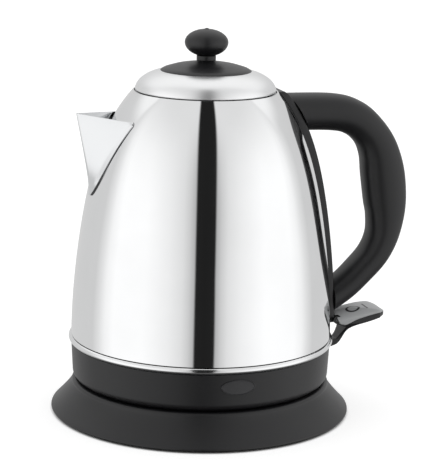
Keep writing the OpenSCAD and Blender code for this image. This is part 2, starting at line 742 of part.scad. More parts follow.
// Front view of the paddle: full width above, narrowing into the leg below
module lever_front() {
    w = lever_w / 2;
    leg = leg_w / 2;
    side = smooth([[w, 20], [w, 0], [w - 0.3, -2.4], [w - 1.7, -4.4], [w - 4, -6.4], [leg + 1.4, -8.4],
                   [leg + 0.4, -10.6], [leg, -13]], 4);
    polygon(concat(side, [for (p = reversed(side)) [-p[0], p[1]]]));
}
// Plan of the paddle: wide, with a round tip
module lever_plan() {
    w = lever_w / 2;
    tip = lever_reach;
    start = paddle_start;
    side = smooth([[start, w - 1.6], [start + 1.2, w - 0.8], [start + 3.5, w - 0.3], [tip - 8, w - 0.3],
                   [tip - 4, w - 1.8], [tip - 1.1, w - 5.5], [tip, 0]], 4);
    polygon(concat([for (p = side) [p[0], -p[1]]], [for (p = reversed(side)) if (p[1] > 0) p]));
}
module lever_block() {
    intersection() {
        translate([0, lever_w, 0]) rotate([90, 0, 0]) linear_extrude(2 * lever_w) lever_side();
        union() {
            intersection() {
                translate([pivot_x, 0, pivot_z - 15]) linear_extrude(40) lever_plan();
                translate([pivot_x + 2 * paddle_start, 0, pivot_z]) rotate([90, 0, 90])
                    linear_extrude(2 * lever_reach) lever_front();
            }
            translate([toe_x - 10, -leg_w / 2, toe_z - 10])
                cube([pivot_x - toe_x + 20, leg_w, pivot_z - toe_z + 8]);
        }
        union() {
            translate([pivot_x + 17, 0, pivot_z + crown_z]) rotate([0, 90 - crown_tilt, 0])
                translate([crown_r, 0, -60]) cylinder(r = crown_r, h = 120);
            translate([toe_x - 10, -leg_w, toe_z - 10]) cube([30, 2 * leg_w, 16]);
        }
    }
}
// Everything above the line along which the insert lies on the lever, raised by a clearance
function insert_line() = smooth([[-5, -3.2], [0, -3.2], [4, -3], [7, -1.9],
                                 [10, -0.4], [14, 1.1], [19, 2.5], [24, 3.5],
                                 [28, 3.4], [29, 3.2]], 4);
module above_insert_line(clear) {
    far_x = pivot_x + lever_reach + 5;
    high_z = pivot_z + lever_reach;
    translate([0, lever_w, 0]) rotate([90, 0, 0]) linear_extrude(2 * lever_w)
        polygon(concat([for (p = placed(insert_line())) [p[0], p[1] + clear]],
                       [[far_x, pivot_z + 3.2 + clear], [far_x, high_z], [pivot_x - 5, high_z]]));
}

module switch_lever() {
    color(black) difference() {
        union() {
            difference() {
                lever_block();
                above_insert_line(0);
                lever_axle(hub_clear, 2 * (knuckle_end + gap));
            }
            knuckles(0);
        }
        lever_axle(pin_r + fit, 2 * lever_w);
    }
}
// The two hinge knuckles, each with an arm that runs down into the paddle's root
module knuckles(grow) {
    w = knuckle_end - lug_w / 2 - gap;
    for (side = [-1, 1])
        translate([pivot_x, side * (lug_w / 2 + gap + knuckle_end) / 2 + w / 2 + grow, pivot_z])
            rotate([90, 0, 0]) linear_extrude(w + 2 * grow) offset(delta = grow) hull() {
                circle(r = barrel_r);
                translate([knuckle_root_x, knuckle_root_z]) circle(r = 0.8);
            }
}

module lever_insert() {
    color(grey) difference() {
        intersection() {
            lever_block();
            above_insert_line(insert_fit);
        }
        lever_axle(hub_clear, 2 * (knuckle_end + gap));
        knuckles(insert_fit);
    }
}

finger_x = control_r + 4.2;
finger_t = 3;
module trip_rod() {
    color("ivory") {
        along_x(rod_r, finger_x + finger_t / 2, rod_end_x, rod_z);
        translate([finger_x, -rod_r, rod_z - rod_r]) cube([finger_t, 2 * rod_r, control_z + 6 - rod_z]);
    }
}

// ---------------------------------------------------------------- lid
lid_z = ledge_z + gap;
lid_r = rim_r - sheet - lid_gap;         // outer radius of the dome
dome_edge = 1.3;                         // height of the dome's straight edge
dome_z = lid_z + dome_edge;
dome_flat_r = lid_r - 20.9;              // radius where the dome turns flat
lid_bore = 2;
function dome_rise(r, h, out) =
    r <= dome_flat_r ? h : h * sqrt(max(1 - pow((r - dome_flat_r) / (out - dome_flat_r), 2), 0));
function dome_line(out, h, r_end) =
    let (a_end = acos(min(max((r_end - dome_flat_r) / (out - dome_flat_r), 0), 1)))
    [for (i = [0:18]) let (a = a_end * i / 18) [dome_flat_r + (out - dome_flat_r) * cos(a), dome_z + h * sin(a)]];

module lid_dome() {
    color(steel) turned(concat(
        [[lid_r, lid_z]], dome_line(lid_r, dome_h, 0),
        [[lid_bore, dome_z + dome_h], [lid_bore, dome_z + dome_h - sheet]],
        reversed(dome_line(lid_r - sheet, dome_h - sheet, 0)),
        [[lid_r - sheet, lid_z]]));
}

liner_r = mouth_r - gap;
liner_depth = 6.5;
liner_z = ledge_z - liner_depth;
module lid_liner() {
    color(steel) turned([
        [lid_bore, liner_z], [liner_r, liner_z], [liner_r, lid_z], [lid_r - sheet - gap, lid_z],
        [lid_r - sheet - gap, lid_z + sheet], [liner_r - sheet, lid_z + sheet],
        [liner_r - sheet, liner_z + sheet], [5, liner_z + sheet],
        [5, dome_z + dome_h - sheet], [lid_bore, dome_z + dome_h - sheet]]);
}

cap_edge = 0.9;
cap_top = dome_z + dome_h + cap_h;
function cap_line() =
    smooth([[cap_r - 0.2, 0.045], [cap_r * 0.95, 0.17], [cap_r * 0.89, 0.285], [cap_r * 0.76, 0.465],
            [cap_r * 0.64, 0.61], [cap_r * 0.49, 0.73], [cap_r * 0.40, 0.79], [neck_r + 2.2, 0.855],
            [neck_r + 0.7, 0.92], [neck_r, 1]], 3);
module lid_cap() {
    low = dome_z + dome_rise(cap_r, dome_h, lid_r);
    color(black) turned(concat(
        [[lid_bore, dome_z + dome_h]], cap_seat(),
        [for (p = cap_line()) [p[0], low + (cap_top - low) * min(p[1], 1)]],
        [[lid_bore, cap_top]]));
}
// Underside of the cap, lying on the dome
function cap_seat() =
    concat([for (p = reversed(dome_line(lid_r, dome_h, 0))) if (p[0] < cap_r - 0.4) [p[0], p[1] + 0.02]],
           [[cap_r, dome_z + dome_rise(cap_r, dome_h, lid_r) + 0.05]]);

module neck_band() {
    color(black) tube(neck_r + 0.1, lid_bore, cap_top, cap_top + neck_h);
}

knob_z = cap_top + neck_h;
knob_mid = knob_z + knob_h * 0.49;
pip_h = 0.5;
knob_bore_h = 9;
module lid_knob() {
    top = knob_h - (knob_mid - knob_z);
    deep = (knob_mid - knob_z) / sqrt(1 - pow(neck_r / knob_r, 2));
    a0 = -acos(neck_r / knob_r);
    color(black) turned(concat(
        [[0, knob_z + knob_bore_h], [lid_bore, knob_z + knob_bore_h], [lid_bore, knob_z]],
        [for (i = [0:12]) let (a = a0 * (1 - i / 12)) [knob_r * cos(a), knob_mid + deep * sin(a)]],
        [for (i = [1:12]) let (a = 82 * i / 12) [knob_r * cos(a), knob_mid + top * sin(a)]],
        [[1.2, knob_z + knob_h + pip_h * 0.5], [0.6, knob_z + knob_h + pip_h], [0, knob_z + knob_h + pip_h]]));
}

module lid_screw() {
    color(steel) screw_up(lid_bore - fit, 4, 2, liner_z, knob_z + knob_bore_h - 1);
}

base_shell();
base_plate();
foot_ring();
base_hub();
base_contacts();
base_screws();
cord_gland();
cord_clamp();
clamp_screws();
kettle_connector();
connector_rings();
connector_pin();
vessel();
spout();
trim_ring();
bottom_housing();
collar_badge();
vessel_floor();
diffuser_plate();
heating_element();
element_terminals();
thermostat_body();
bimetal_discs();
thermostat_screws();
floor_studs();
housing_screws();
handle_spine();
handle_grip();
handle_screws();
grip_screw();
steam_seal();
lever_pin();
switch_lever();
lever_insert();
trip_rod();
lid_dome();
lid_liner();
lid_cap();
neck_band();
lid_knob();
lid_screw();
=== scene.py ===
"""Looks of a cordless electric kettle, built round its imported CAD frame.

Sizes are in millimetres, in the frame of the CAD model: the origin is on the jug's axis in the
plane of the rubber foot, +Z is up, the spout points to -X and the handle to +X. They become metres
where a mesh is made.
"""

from __future__ import annotations

import sys
import logging
import math
from dataclasses import dataclass, field
from enum import Enum
from typing import Any, Callable, Iterable, Sequence

import bmesh
import bpy
from mathutils import Matrix, Vector


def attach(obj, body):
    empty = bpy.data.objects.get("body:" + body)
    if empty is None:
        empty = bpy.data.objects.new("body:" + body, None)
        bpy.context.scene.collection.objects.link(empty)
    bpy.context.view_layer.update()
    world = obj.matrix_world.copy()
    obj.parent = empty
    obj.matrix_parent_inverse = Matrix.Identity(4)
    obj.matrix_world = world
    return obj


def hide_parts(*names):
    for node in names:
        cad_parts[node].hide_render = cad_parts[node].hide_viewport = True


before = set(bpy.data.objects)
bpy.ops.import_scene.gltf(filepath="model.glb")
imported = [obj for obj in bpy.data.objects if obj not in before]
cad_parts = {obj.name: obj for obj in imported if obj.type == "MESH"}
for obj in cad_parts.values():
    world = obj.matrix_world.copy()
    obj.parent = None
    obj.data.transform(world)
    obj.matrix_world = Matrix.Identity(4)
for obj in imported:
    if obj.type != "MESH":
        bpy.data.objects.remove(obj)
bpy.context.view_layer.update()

MM = 0.001
JUG_DATUM = 1.0  # the jug, its lever and its lid are drawn from a plane this far above the table
Colour = tuple[float, float, float]
Point = tuple[float, float]
Spot = tuple[float, float, float]

log = logging.getLogger("kettle")


class Body(str, Enum):
    """The bodies that carry the pieces made here."""

    BASE = "power_base"
    JUG = "jug"
    LEVER = "lever"
    LID = "lid"


class Slot(str, Enum):
    """The finishes of the part's record, one named with each piece made here."""

    POLISHED = "polished_steel"
    INNER = "inner_steel"
    FASTENER = "fastener_steel"
    BLACK = "black_plastic"
    DARK = "dark_plastic"
    SILVER = "silver_plastic"
    BRASS = "contact_brass"
    RUBBER = "foot_rubber"


class Polish(Enum):
    """How a steel surface was worked last."""

    MIRROR = "mirror"
    SATIN = "satin"
    TURNED = "turned"


# ---------------------------------------------------------------- node trees


class Field:
    """A number socket of a node tree, on which plain arithmetic adds Math nodes."""

    def __init__(self, graph: "Graph", socket: bpy.types.NodeSocket) -> None:
        """Wraps a socket.

        Args:
            graph: the tree that the socket is in.
            socket: the output socket that carries the number.
        """
        self.graph = graph
        self.socket = socket

    def __add__(self, other: "Field | float") -> "Field":
        """Adds."""
        return self.graph.math("ADD", self, other)

    __radd__ = __add__

    def __sub__(self, other: "Field | float") -> "Field":
        """Subtracts."""
        return self.graph.math("SUBTRACT", self, other)

    def __rsub__(self, other: "Field | float") -> "Field":
        """Subtracts this number from another."""
        return self.graph.math("SUBTRACT", other, self)

    def __mul__(self, other: "Field | float") -> "Field":
        """Multiplies."""
        return self.graph.math("MULTIPLY", self, other)

    __rmul__ = __mul__

    def __truediv__(self, other: "Field | float") -> "Field":
        """Divides."""
        return self.graph.math("DIVIDE", self, other)

    def __pow__(self, other: "Field | float") -> "Field":
        """Raises to a power."""
        return self.graph.math("POWER", self, other)

    def __abs__(self) -> "Field":
        """Takes the size without the sign."""
        return self.graph.math("ABSOLUTE", self)

    def __lt__(self, other: "Field | float") -> "Field":
        """Gives 1 where this number is the smaller."""
        return self.graph.math("LESS_THAN", self, other)

    def __gt__(self, other: "Field | float") -> "Field":
        """Gives 1 where this number is the larger."""
        return self.graph.math("GREATER_THAN", self, other)


class Graph:
    """A node tree in the making."""

    def __init__(self, tree: bpy.types.NodeTree) -> None:
        """Starts on a tree.

        Args:
            tree: the node tree to fill.
        """
        self.tree = tree

    def node(self, kind: str, settings: dict[str, Any] | None = None,
             inputs: dict[str | int, Any] | None = None) -> bpy.types.Node:
        """Adds a node.

        Args:
            kind: the node's type.
            settings: properties set first, such as an operation; "stops" fills a colour ramp.
            inputs: values or links of the node's sockets, by name, identifier or index.

        Returns:
            The new node.
        """
        made = self.tree.nodes.new(kind)
        for name, value in (settings or {}).items():
            if name == "stops":
                self._fill_ramp(made.color_ramp, value)
            else:
                setattr(made, name, value)
        for key, value in (inputs or {}).items():
            socket = self.pick(made.inputs, key)
            if isinstance(value, Field):
                self.tree.links.new(value.socket, socket)
            elif isinstance(value, bpy.types.NodeSocket):
                self.tree.links.new(value, socket)
            else:
                socket.default_value = value
        return made

    @staticmethod
    def _fill_ramp(ramp: bpy.types.ColorRamp, stops: Sequence[tuple[float, Colour]]) -> None:
        """Gives a colour ramp its stops.

        Args:
            ramp: the ramp.
            stops: place and colour of each stop, in rising order.
        """
        while len(ramp.elements) > 1:
            ramp.elements.remove(ramp.elements[-1])
        for i, (place, colour) in enumerate(stops):
            stop = ramp.elements[0] if i == 0 else ramp.elements.new(place)
            stop.position = place
            stop.color = (*colour, 1.0)

    @staticmethod
    def pick(sockets: Iterable[bpy.types.NodeSocket], key: str | int) -> bpy.types.NodeSocket:
        """Finds a socket.

        Args:
            sockets: a node's inputs or outputs.
            key: the socket's index, identifier or name.

        Returns:
            The socket.
        """
        if isinstance(key, int):
            return sockets[key]
        for socket in sockets:
            if socket.identifier == key:
                return socket
        return sockets[key]

    def out(self, made: bpy.types.Node, key: str | int = 0) -> Field:
        """Wraps an output socket of a node as a number."""
        return Field(self, self.pick(made.outputs, key))

    def math(self, operation: str, *values: "Field | float", clamp: bool = False) -> Field:
        """Adds a Math node.

        Args:
            operation: the node's operation.
            values: its numbers, in order.
            clamp: keeps the result between 0 and 1.

        Returns:
            The result.
        """
        made = self.node("ShaderNodeMath", {"operation": operation, "use_clamp": clamp},
                         dict(enumerate(values)))
        return self.out(made)

    def smooth(self, value: Field, low: float, high: float) -> Field:
        """Rises smoothly from 0 to 1 while a number goes from low to high.

        Args:
            value: the number.
            low: where the rise starts.
            high: where it ends.

        Returns:
            A number from 0 to 1.
        """
        made = self.node("ShaderNodeMapRange", {"interpolation_type": "SMOOTHSTEP"},
                         {"Value": value, "From Min": low, "From Max": high})
        return self.out(made, "Result")

    def mix(self, factor: Field | float, a: Any, b: Any) -> bpy.types.NodeSocket:
        """Mixes two colours.

        Args:
            factor: share of the second colour.
            a: first colour or socket.
            b: second colour or socket.

        Returns:
            The mixed colour's socket.
        """
        given = {"Factor_Float": factor,
                 "A_Color": (*a, 1.0) if isinstance(a, tuple) else a,
                 "B_Color": (*b, 1.0) if isinstance(b, tuple) else b}
        return self.pick(self.node("ShaderNodeMix", {"data_type": "RGBA"}, given).outputs, "Result_Color")

    def xyz(self, vector: bpy.types.NodeSocket) -> tuple[Field, Field, Field]:
        """Splits a vector into its three numbers."""
        made = self.node("ShaderNodeSeparateXYZ", inputs={0: vector})
        return self.out(made, 0), self.out(made, 1), self.out(made, 2)

    def vector(self, x: Field | float, y: Field | float, z: Field | float) -> bpy.types.NodeSocket:
        """Joins three numbers into a vector."""
        return self.node("ShaderNodeCombineXYZ", inputs={0: x, 1: y, 2: z}).outputs[0]


class Finish:
    """A procedural finish; a subclass says how its shader is wired."""

    name: str

    def material(self) -> bpy.types.Material:
        """Gives the finish's material, made the first time that it is asked for."""
        found = bpy.data.materials.get(self.name)
        if found is None:
            found = bpy.data.materials.new(self.name)
            found.use_nodes = True
            found.node_tree.nodes.clear()
            graph = Graph(found.node_tree)
            shader = self.shader(graph)
            graph.node("ShaderNodeOutputMaterial", inputs={"Surface": shader})
        return found

    def shader(self, graph: Graph) -> bpy.types.NodeSocket:
        """Wires the shader.

        Args:
            graph: the material's tree.

        Returns:
            The shader's output socket.
        """
        raise NotImplementedError

    @staticmethod
    def place(graph: Graph) -> bpy.types.NodeSocket:
        """Gives the Object coordinates, which are the part's own frame in metres."""
        return graph.node("ShaderNodeTexCoord").outputs["Object"]

    @staticmethod
    def noise(graph: Graph, where: bpy.types.NodeSocket, scale: float, detail: float = 2.0,
              roughness: float = 0.5) -> Field:
        """Adds a noise pattern.

        Args:
            graph: the material's tree.
            where: coordinates to read it at.
            scale: blotches per metre.
            detail: octaves.
            roughness: weight of the finer octaves.

        Returns:
            The pattern, about 0 to 1.
        """
        made = graph.node("ShaderNodeTexNoise", inputs={
            "Vector": where, "Scale": scale, "Detail": detail, "Roughness": roughness})
        return graph.out(made, "Fac" if "Fac" in made.outputs else 0)

    @staticmethod
    def bump(graph: Graph, height: Field, strength: float, depth: float) -> bpy.types.NodeSocket:
        """Turns a height into a normal.

        Args:
            graph: the material's tree.
            height: the height, 0 to 1.
            strength: share of the bump that shows.
            depth: height of 1, in millimetres.

        Returns:
            The normal's socket.
        """
        made = graph.node("ShaderNodeBump", inputs={
            "Strength": strength, "Distance": depth * MM, "Height": height})
        return made.outputs["Normal"]


@dataclass(frozen=True)
class Steel(Finish):
    """Stainless steel, with the marks of its last polishing."""

    name: str
    polish: Polish
    colour: Colour = (0.86, 0.865, 0.87)
    roughness: float = 0.07
    line_depth: float = 0.0015

    def shader(self, graph: Graph) -> bpy.types.NodeSocket:
        """Wires metal with soft clouds, and fine lines that run round the axis."""
        where = self.place(graph)
        x, y, z = graph.xyz(where)
        cloud = self.noise(graph, where, 22.0, 3.0)
        reach = graph.math("SQRT", x * x + y * y)
        across = {Polish.MIRROR: 1500.0, Polish.SATIN: 2600.0, Polish.TURNED: 1900.0}[self.polish]
        along = x * 30.0 + y * 41.0
        lines = self.noise(graph, graph.vector(along, z * across, reach * across), 1.0, 3.0, 0.65)
        spread = {Polish.MIRROR: 0.035, Polish.SATIN: 0.12, Polish.TURNED: 0.10}[self.polish]
        rough = (cloud - 0.5) * spread + (lines - 0.5) * spread + self.roughness
        shade = graph.mix(graph.smooth(cloud, 0.3, 0.7), tuple(c * 0.965 for c in self.colour), self.colour)
        return graph.node("ShaderNodeBsdfPrincipled", inputs={
            "Base Color": shade, "Metallic": 1.0, "Roughness": graph.math("MAXIMUM", rough, 0.02),
            "Normal": self.bump(graph, lines, 0.5, self.line_depth)}).outputs[0]


@dataclass(frozen=True)
class Moulded(Finish):
    """Moulded plastic with the fine grain of its tool."""

    name: str
    colour: Colour = (0.0085, 0.0085, 0.0098)
    roughness: float = 0.40
    grain: float = 1500.0
    grain_depth: float = 0.012
    mottle: float = 0.25
    specular: float = 0.5

    def shader(self, graph: Graph) -> bpy.types.NodeSocket:
        """Wires plastic with a spark-eroded grain and slow changes of sheen."""
        where = self.place(graph)
        cloud = self.noise(graph, where, 35.0, 3.0)
        grain = self.noise(graph, where, self.grain, 2.0, 0.6)
        pits = graph.node("ShaderNodeTexVoronoi", {"feature": "F1"},
                          {"Vector": where, "Scale": self.grain * 0.7})
        height = grain * 0.6 + graph.out(pits, "Distance") * 0.4
        dark = tuple(c * (1 - self.mottle) for c in self.colour)
        shade = graph.mix(graph.smooth(cloud * 0.6 + grain * 0.4, 0.3, 0.7), dark, self.colour)
        shade = self.inked(graph, where, shade)
        rough = (cloud - 0.5) * 0.10 + (grain - 0.5) * 0.12 + self.roughness
        return graph.node("ShaderNodeBsdfPrincipled", inputs={
            "Base Color": shade, "Roughness": rough, "Specular IOR Level": self.specular,
            "Normal": self.bump(graph, height, 0.6, self.grain_depth)}).outputs[0]

    def inked(self, graph: Graph, where: bpy.types.NodeSocket,
              shade: bpy.types.NodeSocket) -> bpy.types.NodeSocket:
        """Adds printed marks; plain plastic has none.

        Args:
            graph: the material's tree.
            where: coordinates in metres.
            shade: the plastic's colour.

        Returns:
            The colour with its marks.
        """
        return shade


@dataclass(frozen=True)
class SwitchMarked(Moulded):
    """Moulded plastic with the usual ring and bar of a switch printed on it, seen from above."""

    ring: tuple[float, float, float, float] = (93.7, -5.2, 3.9, 2.6)
    bar: tuple[float, float, float] = (102.3, -2.8, 4.6)
    line_w: float = 1.25
    ink: Colour = (0.012, 0.012, 0.013)

    def inked(self, graph: Graph, where: bpy.types.NodeSocket,
              shade: bpy.types.NodeSocket) -> bpy.types.NodeSocket:
        """Prints the ring for off and the bar for on."""
        x, y, _ = graph.xyz(where)
        cx, cy, rx, ry = (v * MM for v in self.ring)
        off_x, off_y = (x - cx) / rx, (y - cy) / ry
        reach = graph.math("SQRT", off_x * off_x + off_y * off_y)
        ring = abs(reach - 1.0) * (rx + ry) / 2
        bx, by, half = (v * MM for v in self.bar)
        bar = graph.math("MAXIMUM", abs(x - bx), abs(y - by) - half)
        away = graph.math("MINIMUM", ring, bar)
        line = self.line_w * MM / 2
        return graph.mix(graph.smooth(away, line * 0.75, line * 1.25), self.ink, shade)


@dataclass(frozen=True)
class Cast(Finish):
    """Plain metal with a cast or drawn skin."""

    name: str
    colour: Colour
    roughness: float = 0.38
    grain: float = 900.0
    tint: Colour = (0.8, 0.8, 0.8)

    def shader(self, graph: Graph) -> bpy.types.NodeSocket:
        """Wires metal with grey or heat-tinted clouds."""
        where = self.place(graph)
        cloud = self.noise(graph, where, 60.0, 4.0)
        grain = self.noise(graph, where, self.grain, 2.0)
        dull = tuple(c * t for c, t in zip(self.colour, self.tint))
        shade = graph.mix(graph.smooth(cloud, 0.35, 0.7), self.colour, dull)
        rough = (cloud - 0.5) * 0.2 + (grain - 0.5) * 0.1 + self.roughness
        return graph.node("ShaderNodeBsdfPrincipled", inputs={
            "Base Color": shade, "Metallic": 1.0, "Roughness": rough,
            "Normal": self.bump(graph, grain, 0.5, 0.01)}).outputs[0]


JUG_STEEL = Steel("polished_jug_steel", Polish.MIRROR, roughness=0.04)
# The spout's steel colour is painted darker than the jug's so that its face reads grey: painted shade.
SPOUT_STEEL_SHADED = Steel("polished_spout_steel_shaded", Polish.MIRROR, (0.77, 0.78, 0.79), 0.16)
# The lid's steel colour is set a little brighter than the jug's: painted light on the dome.
LID_STEEL_LIT = Steel("satin_lid_steel", Polish.SATIN, roughness=0.34, colour=(0.88, 0.885, 0.89))
RING_STEEL = Steel("bright_ring_steel", Polish.MIRROR, roughness=0.12)
INNER_STEEL = Steel("drawn_inner_steel", Polish.TURNED, (0.66, 0.665, 0.67), 0.30, 0.003)
SCREW_STEEL = Cast("zinc_screw_steel", (0.60, 0.61, 0.62), 0.32, 1400.0, (0.85, 0.84, 0.80))
PIN_STEEL = Cast("blackened_pin_steel", (0.16, 0.16, 0.165), 0.40, 1600.0, (0.8, 0.8, 0.8))
SATIN_BLACK = Moulded("satin_black_plastic")
GRIP_BLACK = Moulded("grained_grip_plastic", roughness=0.42, grain=1700.0)
KNOB_BLACK = Moulded("knob_black_plastic", (0.011, 0.011, 0.0125), 0.40, 1900.0)
DARK_PLASTIC = Moulded("dark_moulded_plastic", (0.007, 0.007, 0.008), 0.34)
BADGE_BLACK = Moulded("badge_black_plastic", (0.026, 0.026, 0.029), 0.34, 2600.0, 0.012)
LEVER_SILVER = SwitchMarked("silver_lever_plastic", (0.50, 0.51, 0.515), 0.38, 2400.0, 0.006, 0.10)
CONTROL_RESIN = Moulded("ivory_control_resin", (0.62, 0.58, 0.47), 0.45, 1100.0, 0.01, 0.08)
FOOT_RUBBER = Moulded("foot_rubber", (0.020, 0.020, 0.020), 0.72, 1100.0, 0.03, 0.2, 0.35)
CAST_PLATE = Cast("cast_heat_plate", (0.68, 0.69, 0.70), 0.42, 700.0, (0.86, 0.86, 0.87))
HEATER_SHEATH = Cast("heater_sheath", (0.50, 0.50, 0.49), 0.45, 900.0, (0.72, 0.66, 0.58))
BRASS = Cast("contact_brass", (0.80, 0.62, 0.28), 0.26, 1200.0, (0.80, 0.74, 0.62))
# A dark line laid on the spout's weld: painted shade of the narrow gap at the flange's edge.
WELD_SHADOW_DARK = Cast("weld_shadow_line", (0.10, 0.10, 0.105), 0.45, 1500.0, (0.6, 0.6, 0.6))


# ---------------------------------------------------------------- mesh making


class Bench:
    """Makes and finishes meshes."""

    @staticmethod
    def piece(name: str, points: Sequence[Spot], faces: Sequence[Sequence[int]]) -> bpy.types.Object:
        """Makes an object from points in millimetres.

        Args:
            name: the object's name.
            points: its points.
            faces: its faces, as indices.

        Returns:
            The object, linked in the scene.
        """
        mesh = bpy.data.meshes.new(name)
        mesh.from_pydata([(x * MM, y * MM, z * MM) for x, y, z in points], [], [list(f) for f in faces])
        made = bpy.data.objects.new(name, mesh)
        bpy.context.scene.collection.objects.link(made)
        return made

    @staticmethod
    def tidy(made: bpy.types.Object, weld: float = 0.002) -> None:
        """Merges doubled points and turns every face outwards.

        Args:
            made: the object.
            weld: how near points are merged, in millimetres.
        """
        work = bmesh.new()
        work.from_mesh(made.data)
        bmesh.ops.remove_doubles(work, verts=work.verts, dist=weld * MM)
        bmesh.ops.recalc_face_normals(work, faces=work.faces)
        work.to_mesh(made.data)
        work.free()

    @staticmethod
    def soften(made: bpy.types.Object, angle: float = 32.0) -> None:
        """Shades an object smooth, with crisp edges where it turns by more than an angle in degrees."""
        mesh = made.data
        mesh.polygons.foreach_set("use_smooth", [True] * len(mesh.polygons))
        mesh.set_sharp_from_angle(angle=math.radians(angle))
        mesh.update()

    @staticmethod
    def applied(made: bpy.types.Object) -> bpy.types.Object:
        """Turns an object's modifiers into its mesh.

        Args:
            made: the object with modifiers.

        Returns:
            The same object with a plain mesh and no modifiers.
        """
        bpy.context.view_layer.update()
        graph = bpy.context.evaluated_depsgraph_get()
        mesh = bpy.data.meshes.new_from_object(made.evaluated_get(graph), depsgraph=graph)
        made.modifiers.clear()
        old = made.data
        made.data = mesh
        mesh.name = made.name
        if old.users == 0:
            bpy.data.meshes.remove(old)
        return made

    @classmethod
    def turned(cls, name: str, outline: Sequence[Point], around: int = 192, angle: float = 32.0) -> bpy.types.Object:
        """Turns a closed outline round the Z axis.

        Args:
            name: the object's name.
            outline: radius and height of each corner, a closed loop.
            around: segments round the axis.
            angle: edges sharper than this stay crisp, in degrees.

        Returns:
            The object.
        """
        points: list[Spot] = []
        rings: list[list[int]] = []
        for r, z in outline:
            if r < 1e-6:
                rings.append([len(points)] * around)
                points.append((0.0, 0.0, z))
            else:
                rings.append(list(range(len(points), len(points) + around)))
                points += [(r * math.cos(math.tau * i / around), r * math.sin(math.tau * i / around), z)
                           for i in range(around)]
        faces = []
        for a, b in zip(rings, rings[1:] + rings[:1]):
            if a[0] == a[1] and b[0] == b[1]:
                continue
            for i in range(around):
                j = (i + 1) % around
                corners = list(dict.fromkeys([a[i], a[j], b[j], b[i]]))
                if len(corners) > 2:
                    faces.append(corners)
        made = cls.piece(name, points, faces)
        cls.tidy(made)
        cls.soften(made, angle)
        return made

    @classmethod
    def loft(cls, name: str, rings: Sequence[Sequence[Spot]], angle: float = 40.0) -> bpy.types.Object:
        """Skins closed rings of equal count, with a cap at each end.

        Args:
            name: the object's name.
            rings: the rings, in order.
            angle: edges sharper than this stay crisp, in degrees.

        Returns:
            The object.
        """
        count = len(rings[0])
        points = [p for ring in rings for p in ring]
        faces: list[list[int]] = [list(range(count))[::-1]]
        for i in range(len(rings) - 1):
            for j in range(count):
                k = (j + 1) % count
                faces.append([i * count + j, i * count + k, (i + 1) * count + k, (i + 1) * count + j])
        faces.append([(len(rings) - 1) * count + j for j in range(count)])
        made = cls.piece(name, points, faces)
        cls.tidy(made)
        cls.soften(made, angle)
        return made

    @classmethod
    def cut(cls, made: bpy.types.Object, *cutters: bpy.types.Object, angle: float = 32.0) -> bpy.types.Object:
        """Cuts shapes out of an object and removes the cutters.

        Args:
            made: the object.
            cutters: what is cut out.
            angle: edges sharper than this stay crisp, in degrees.

        Returns:
            The object.
        """
        cls.combined(made, "DIFFERENCE", *cutters)
        cls.soften(made, angle)
        return made

    @classmethod
    def combined(cls, made: bpy.types.Object, operation: str, *tools: bpy.types.Object) -> bpy.types.Object:
        """Joins or intersects an object with others and removes the others.

        Args:
            made: the object.
            operation: UNION, INTERSECT or DIFFERENCE.
            tools: the other objects.

        Returns:
            The object.
        """
        for tool in tools:
            step = made.modifiers.new("combine", "BOOLEAN")
            step.operation = operation
            step.solver = "EXACT"
            step.object = tool
        cls.applied(made)
        for tool in tools:
            bpy.data.objects.remove(tool)
        return made

    @classmethod
    def prism(cls, name: str, outline: Sequence[Spot], along: Spot) -> bpy.types.Object:
        """Sweeps a flat outline straight along a vector."""
        moved = [(x + along[0], y + along[1], z + along[2]) for x, y, z in outline]
        return cls.loft(name, [list(outline), moved])

    @classmethod
    def moulded(cls, made: bpy.types.Object, grid: float, rounds: int) -> bpy.types.Object:
        """Rounds every edge of a solid as a mould does.

        Args:
            made: the solid.
            grid: size of the skin's faces, in millimetres.
            rounds: how often the skin is relaxed.

        Returns:
            The solid with its new skin.
        """
        skin = made.modifiers.new("skin", "REMESH")
        skin.mode = "VOXEL"
        skin.voxel_size = grid * MM
        relax = made.modifiers.new("relax", "SMOOTH")
        relax.factor = 0.5
        relax.iterations = rounds
        return cls.applied(made)

    @classmethod
    def rod(cls, name: str, start: Spot, end: Spot, radius: float, around: int = 48) -> bpy.types.Object:
        """Makes a round bar between two points.

        Args:
            name: the object's name.
            start: centre of one end.
            end: centre of the other.
            radius: its radius.
            around: segments round it.

        Returns:
            The object.
        """
        a, b = Vector(start), Vector(end)
        turn = (b - a).to_track_quat("Z", "Y").to_matrix()
        rings = []
        for centre in (a, b):
            rings.append([tuple(centre + turn @ Vector((radius * math.cos(math.tau * i / around),
                                                        radius * math.sin(math.tau * i / around), 0)))
                          for i in range(around)])
        return cls.loft(name, rings)

    @classmethod
    def block(cls, name: str, low: Spot, high: Spot) -> bpy.types.Object:
        """Makes a cutter box between two corners."""
        rings = [[(low[0], low[1], z), (high[0], low[1], z), (high[0], high[1], z), (low[0], high[1], z)]
                 for z in (low[2], high[2])]
        return cls.loft(name, rings)

    @staticmethod
    def dressed(made: bpy.types.Object, finish: Finish, body: Body, slot: Slot,
                *nodes: str) -> bpy.types.Object:
        """Gives a piece its finish, its body and the CAD nodes that it stands for.

        Args:
            made: the piece.
            finish: its finish.
            body: the body that it moves with.
            slot: the record's finish that it takes; not used.
            nodes: CAD nodes that it stands for.

        Returns:
            The piece.
        """
        if body is not Body.BASE:
            made.data.transform(Matrix.Translation((0.0, 0.0, JUG_DATUM * MM)))
        made.data.materials.clear()
        made.data.materials.append(finish.material())
        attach(made, body.value)
        if nodes:
            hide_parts(*nodes)
        log.info("%s: %d faces, %s, moves with %s", made.name, len(made.data.polygons), finish.name, body.value)
        return made


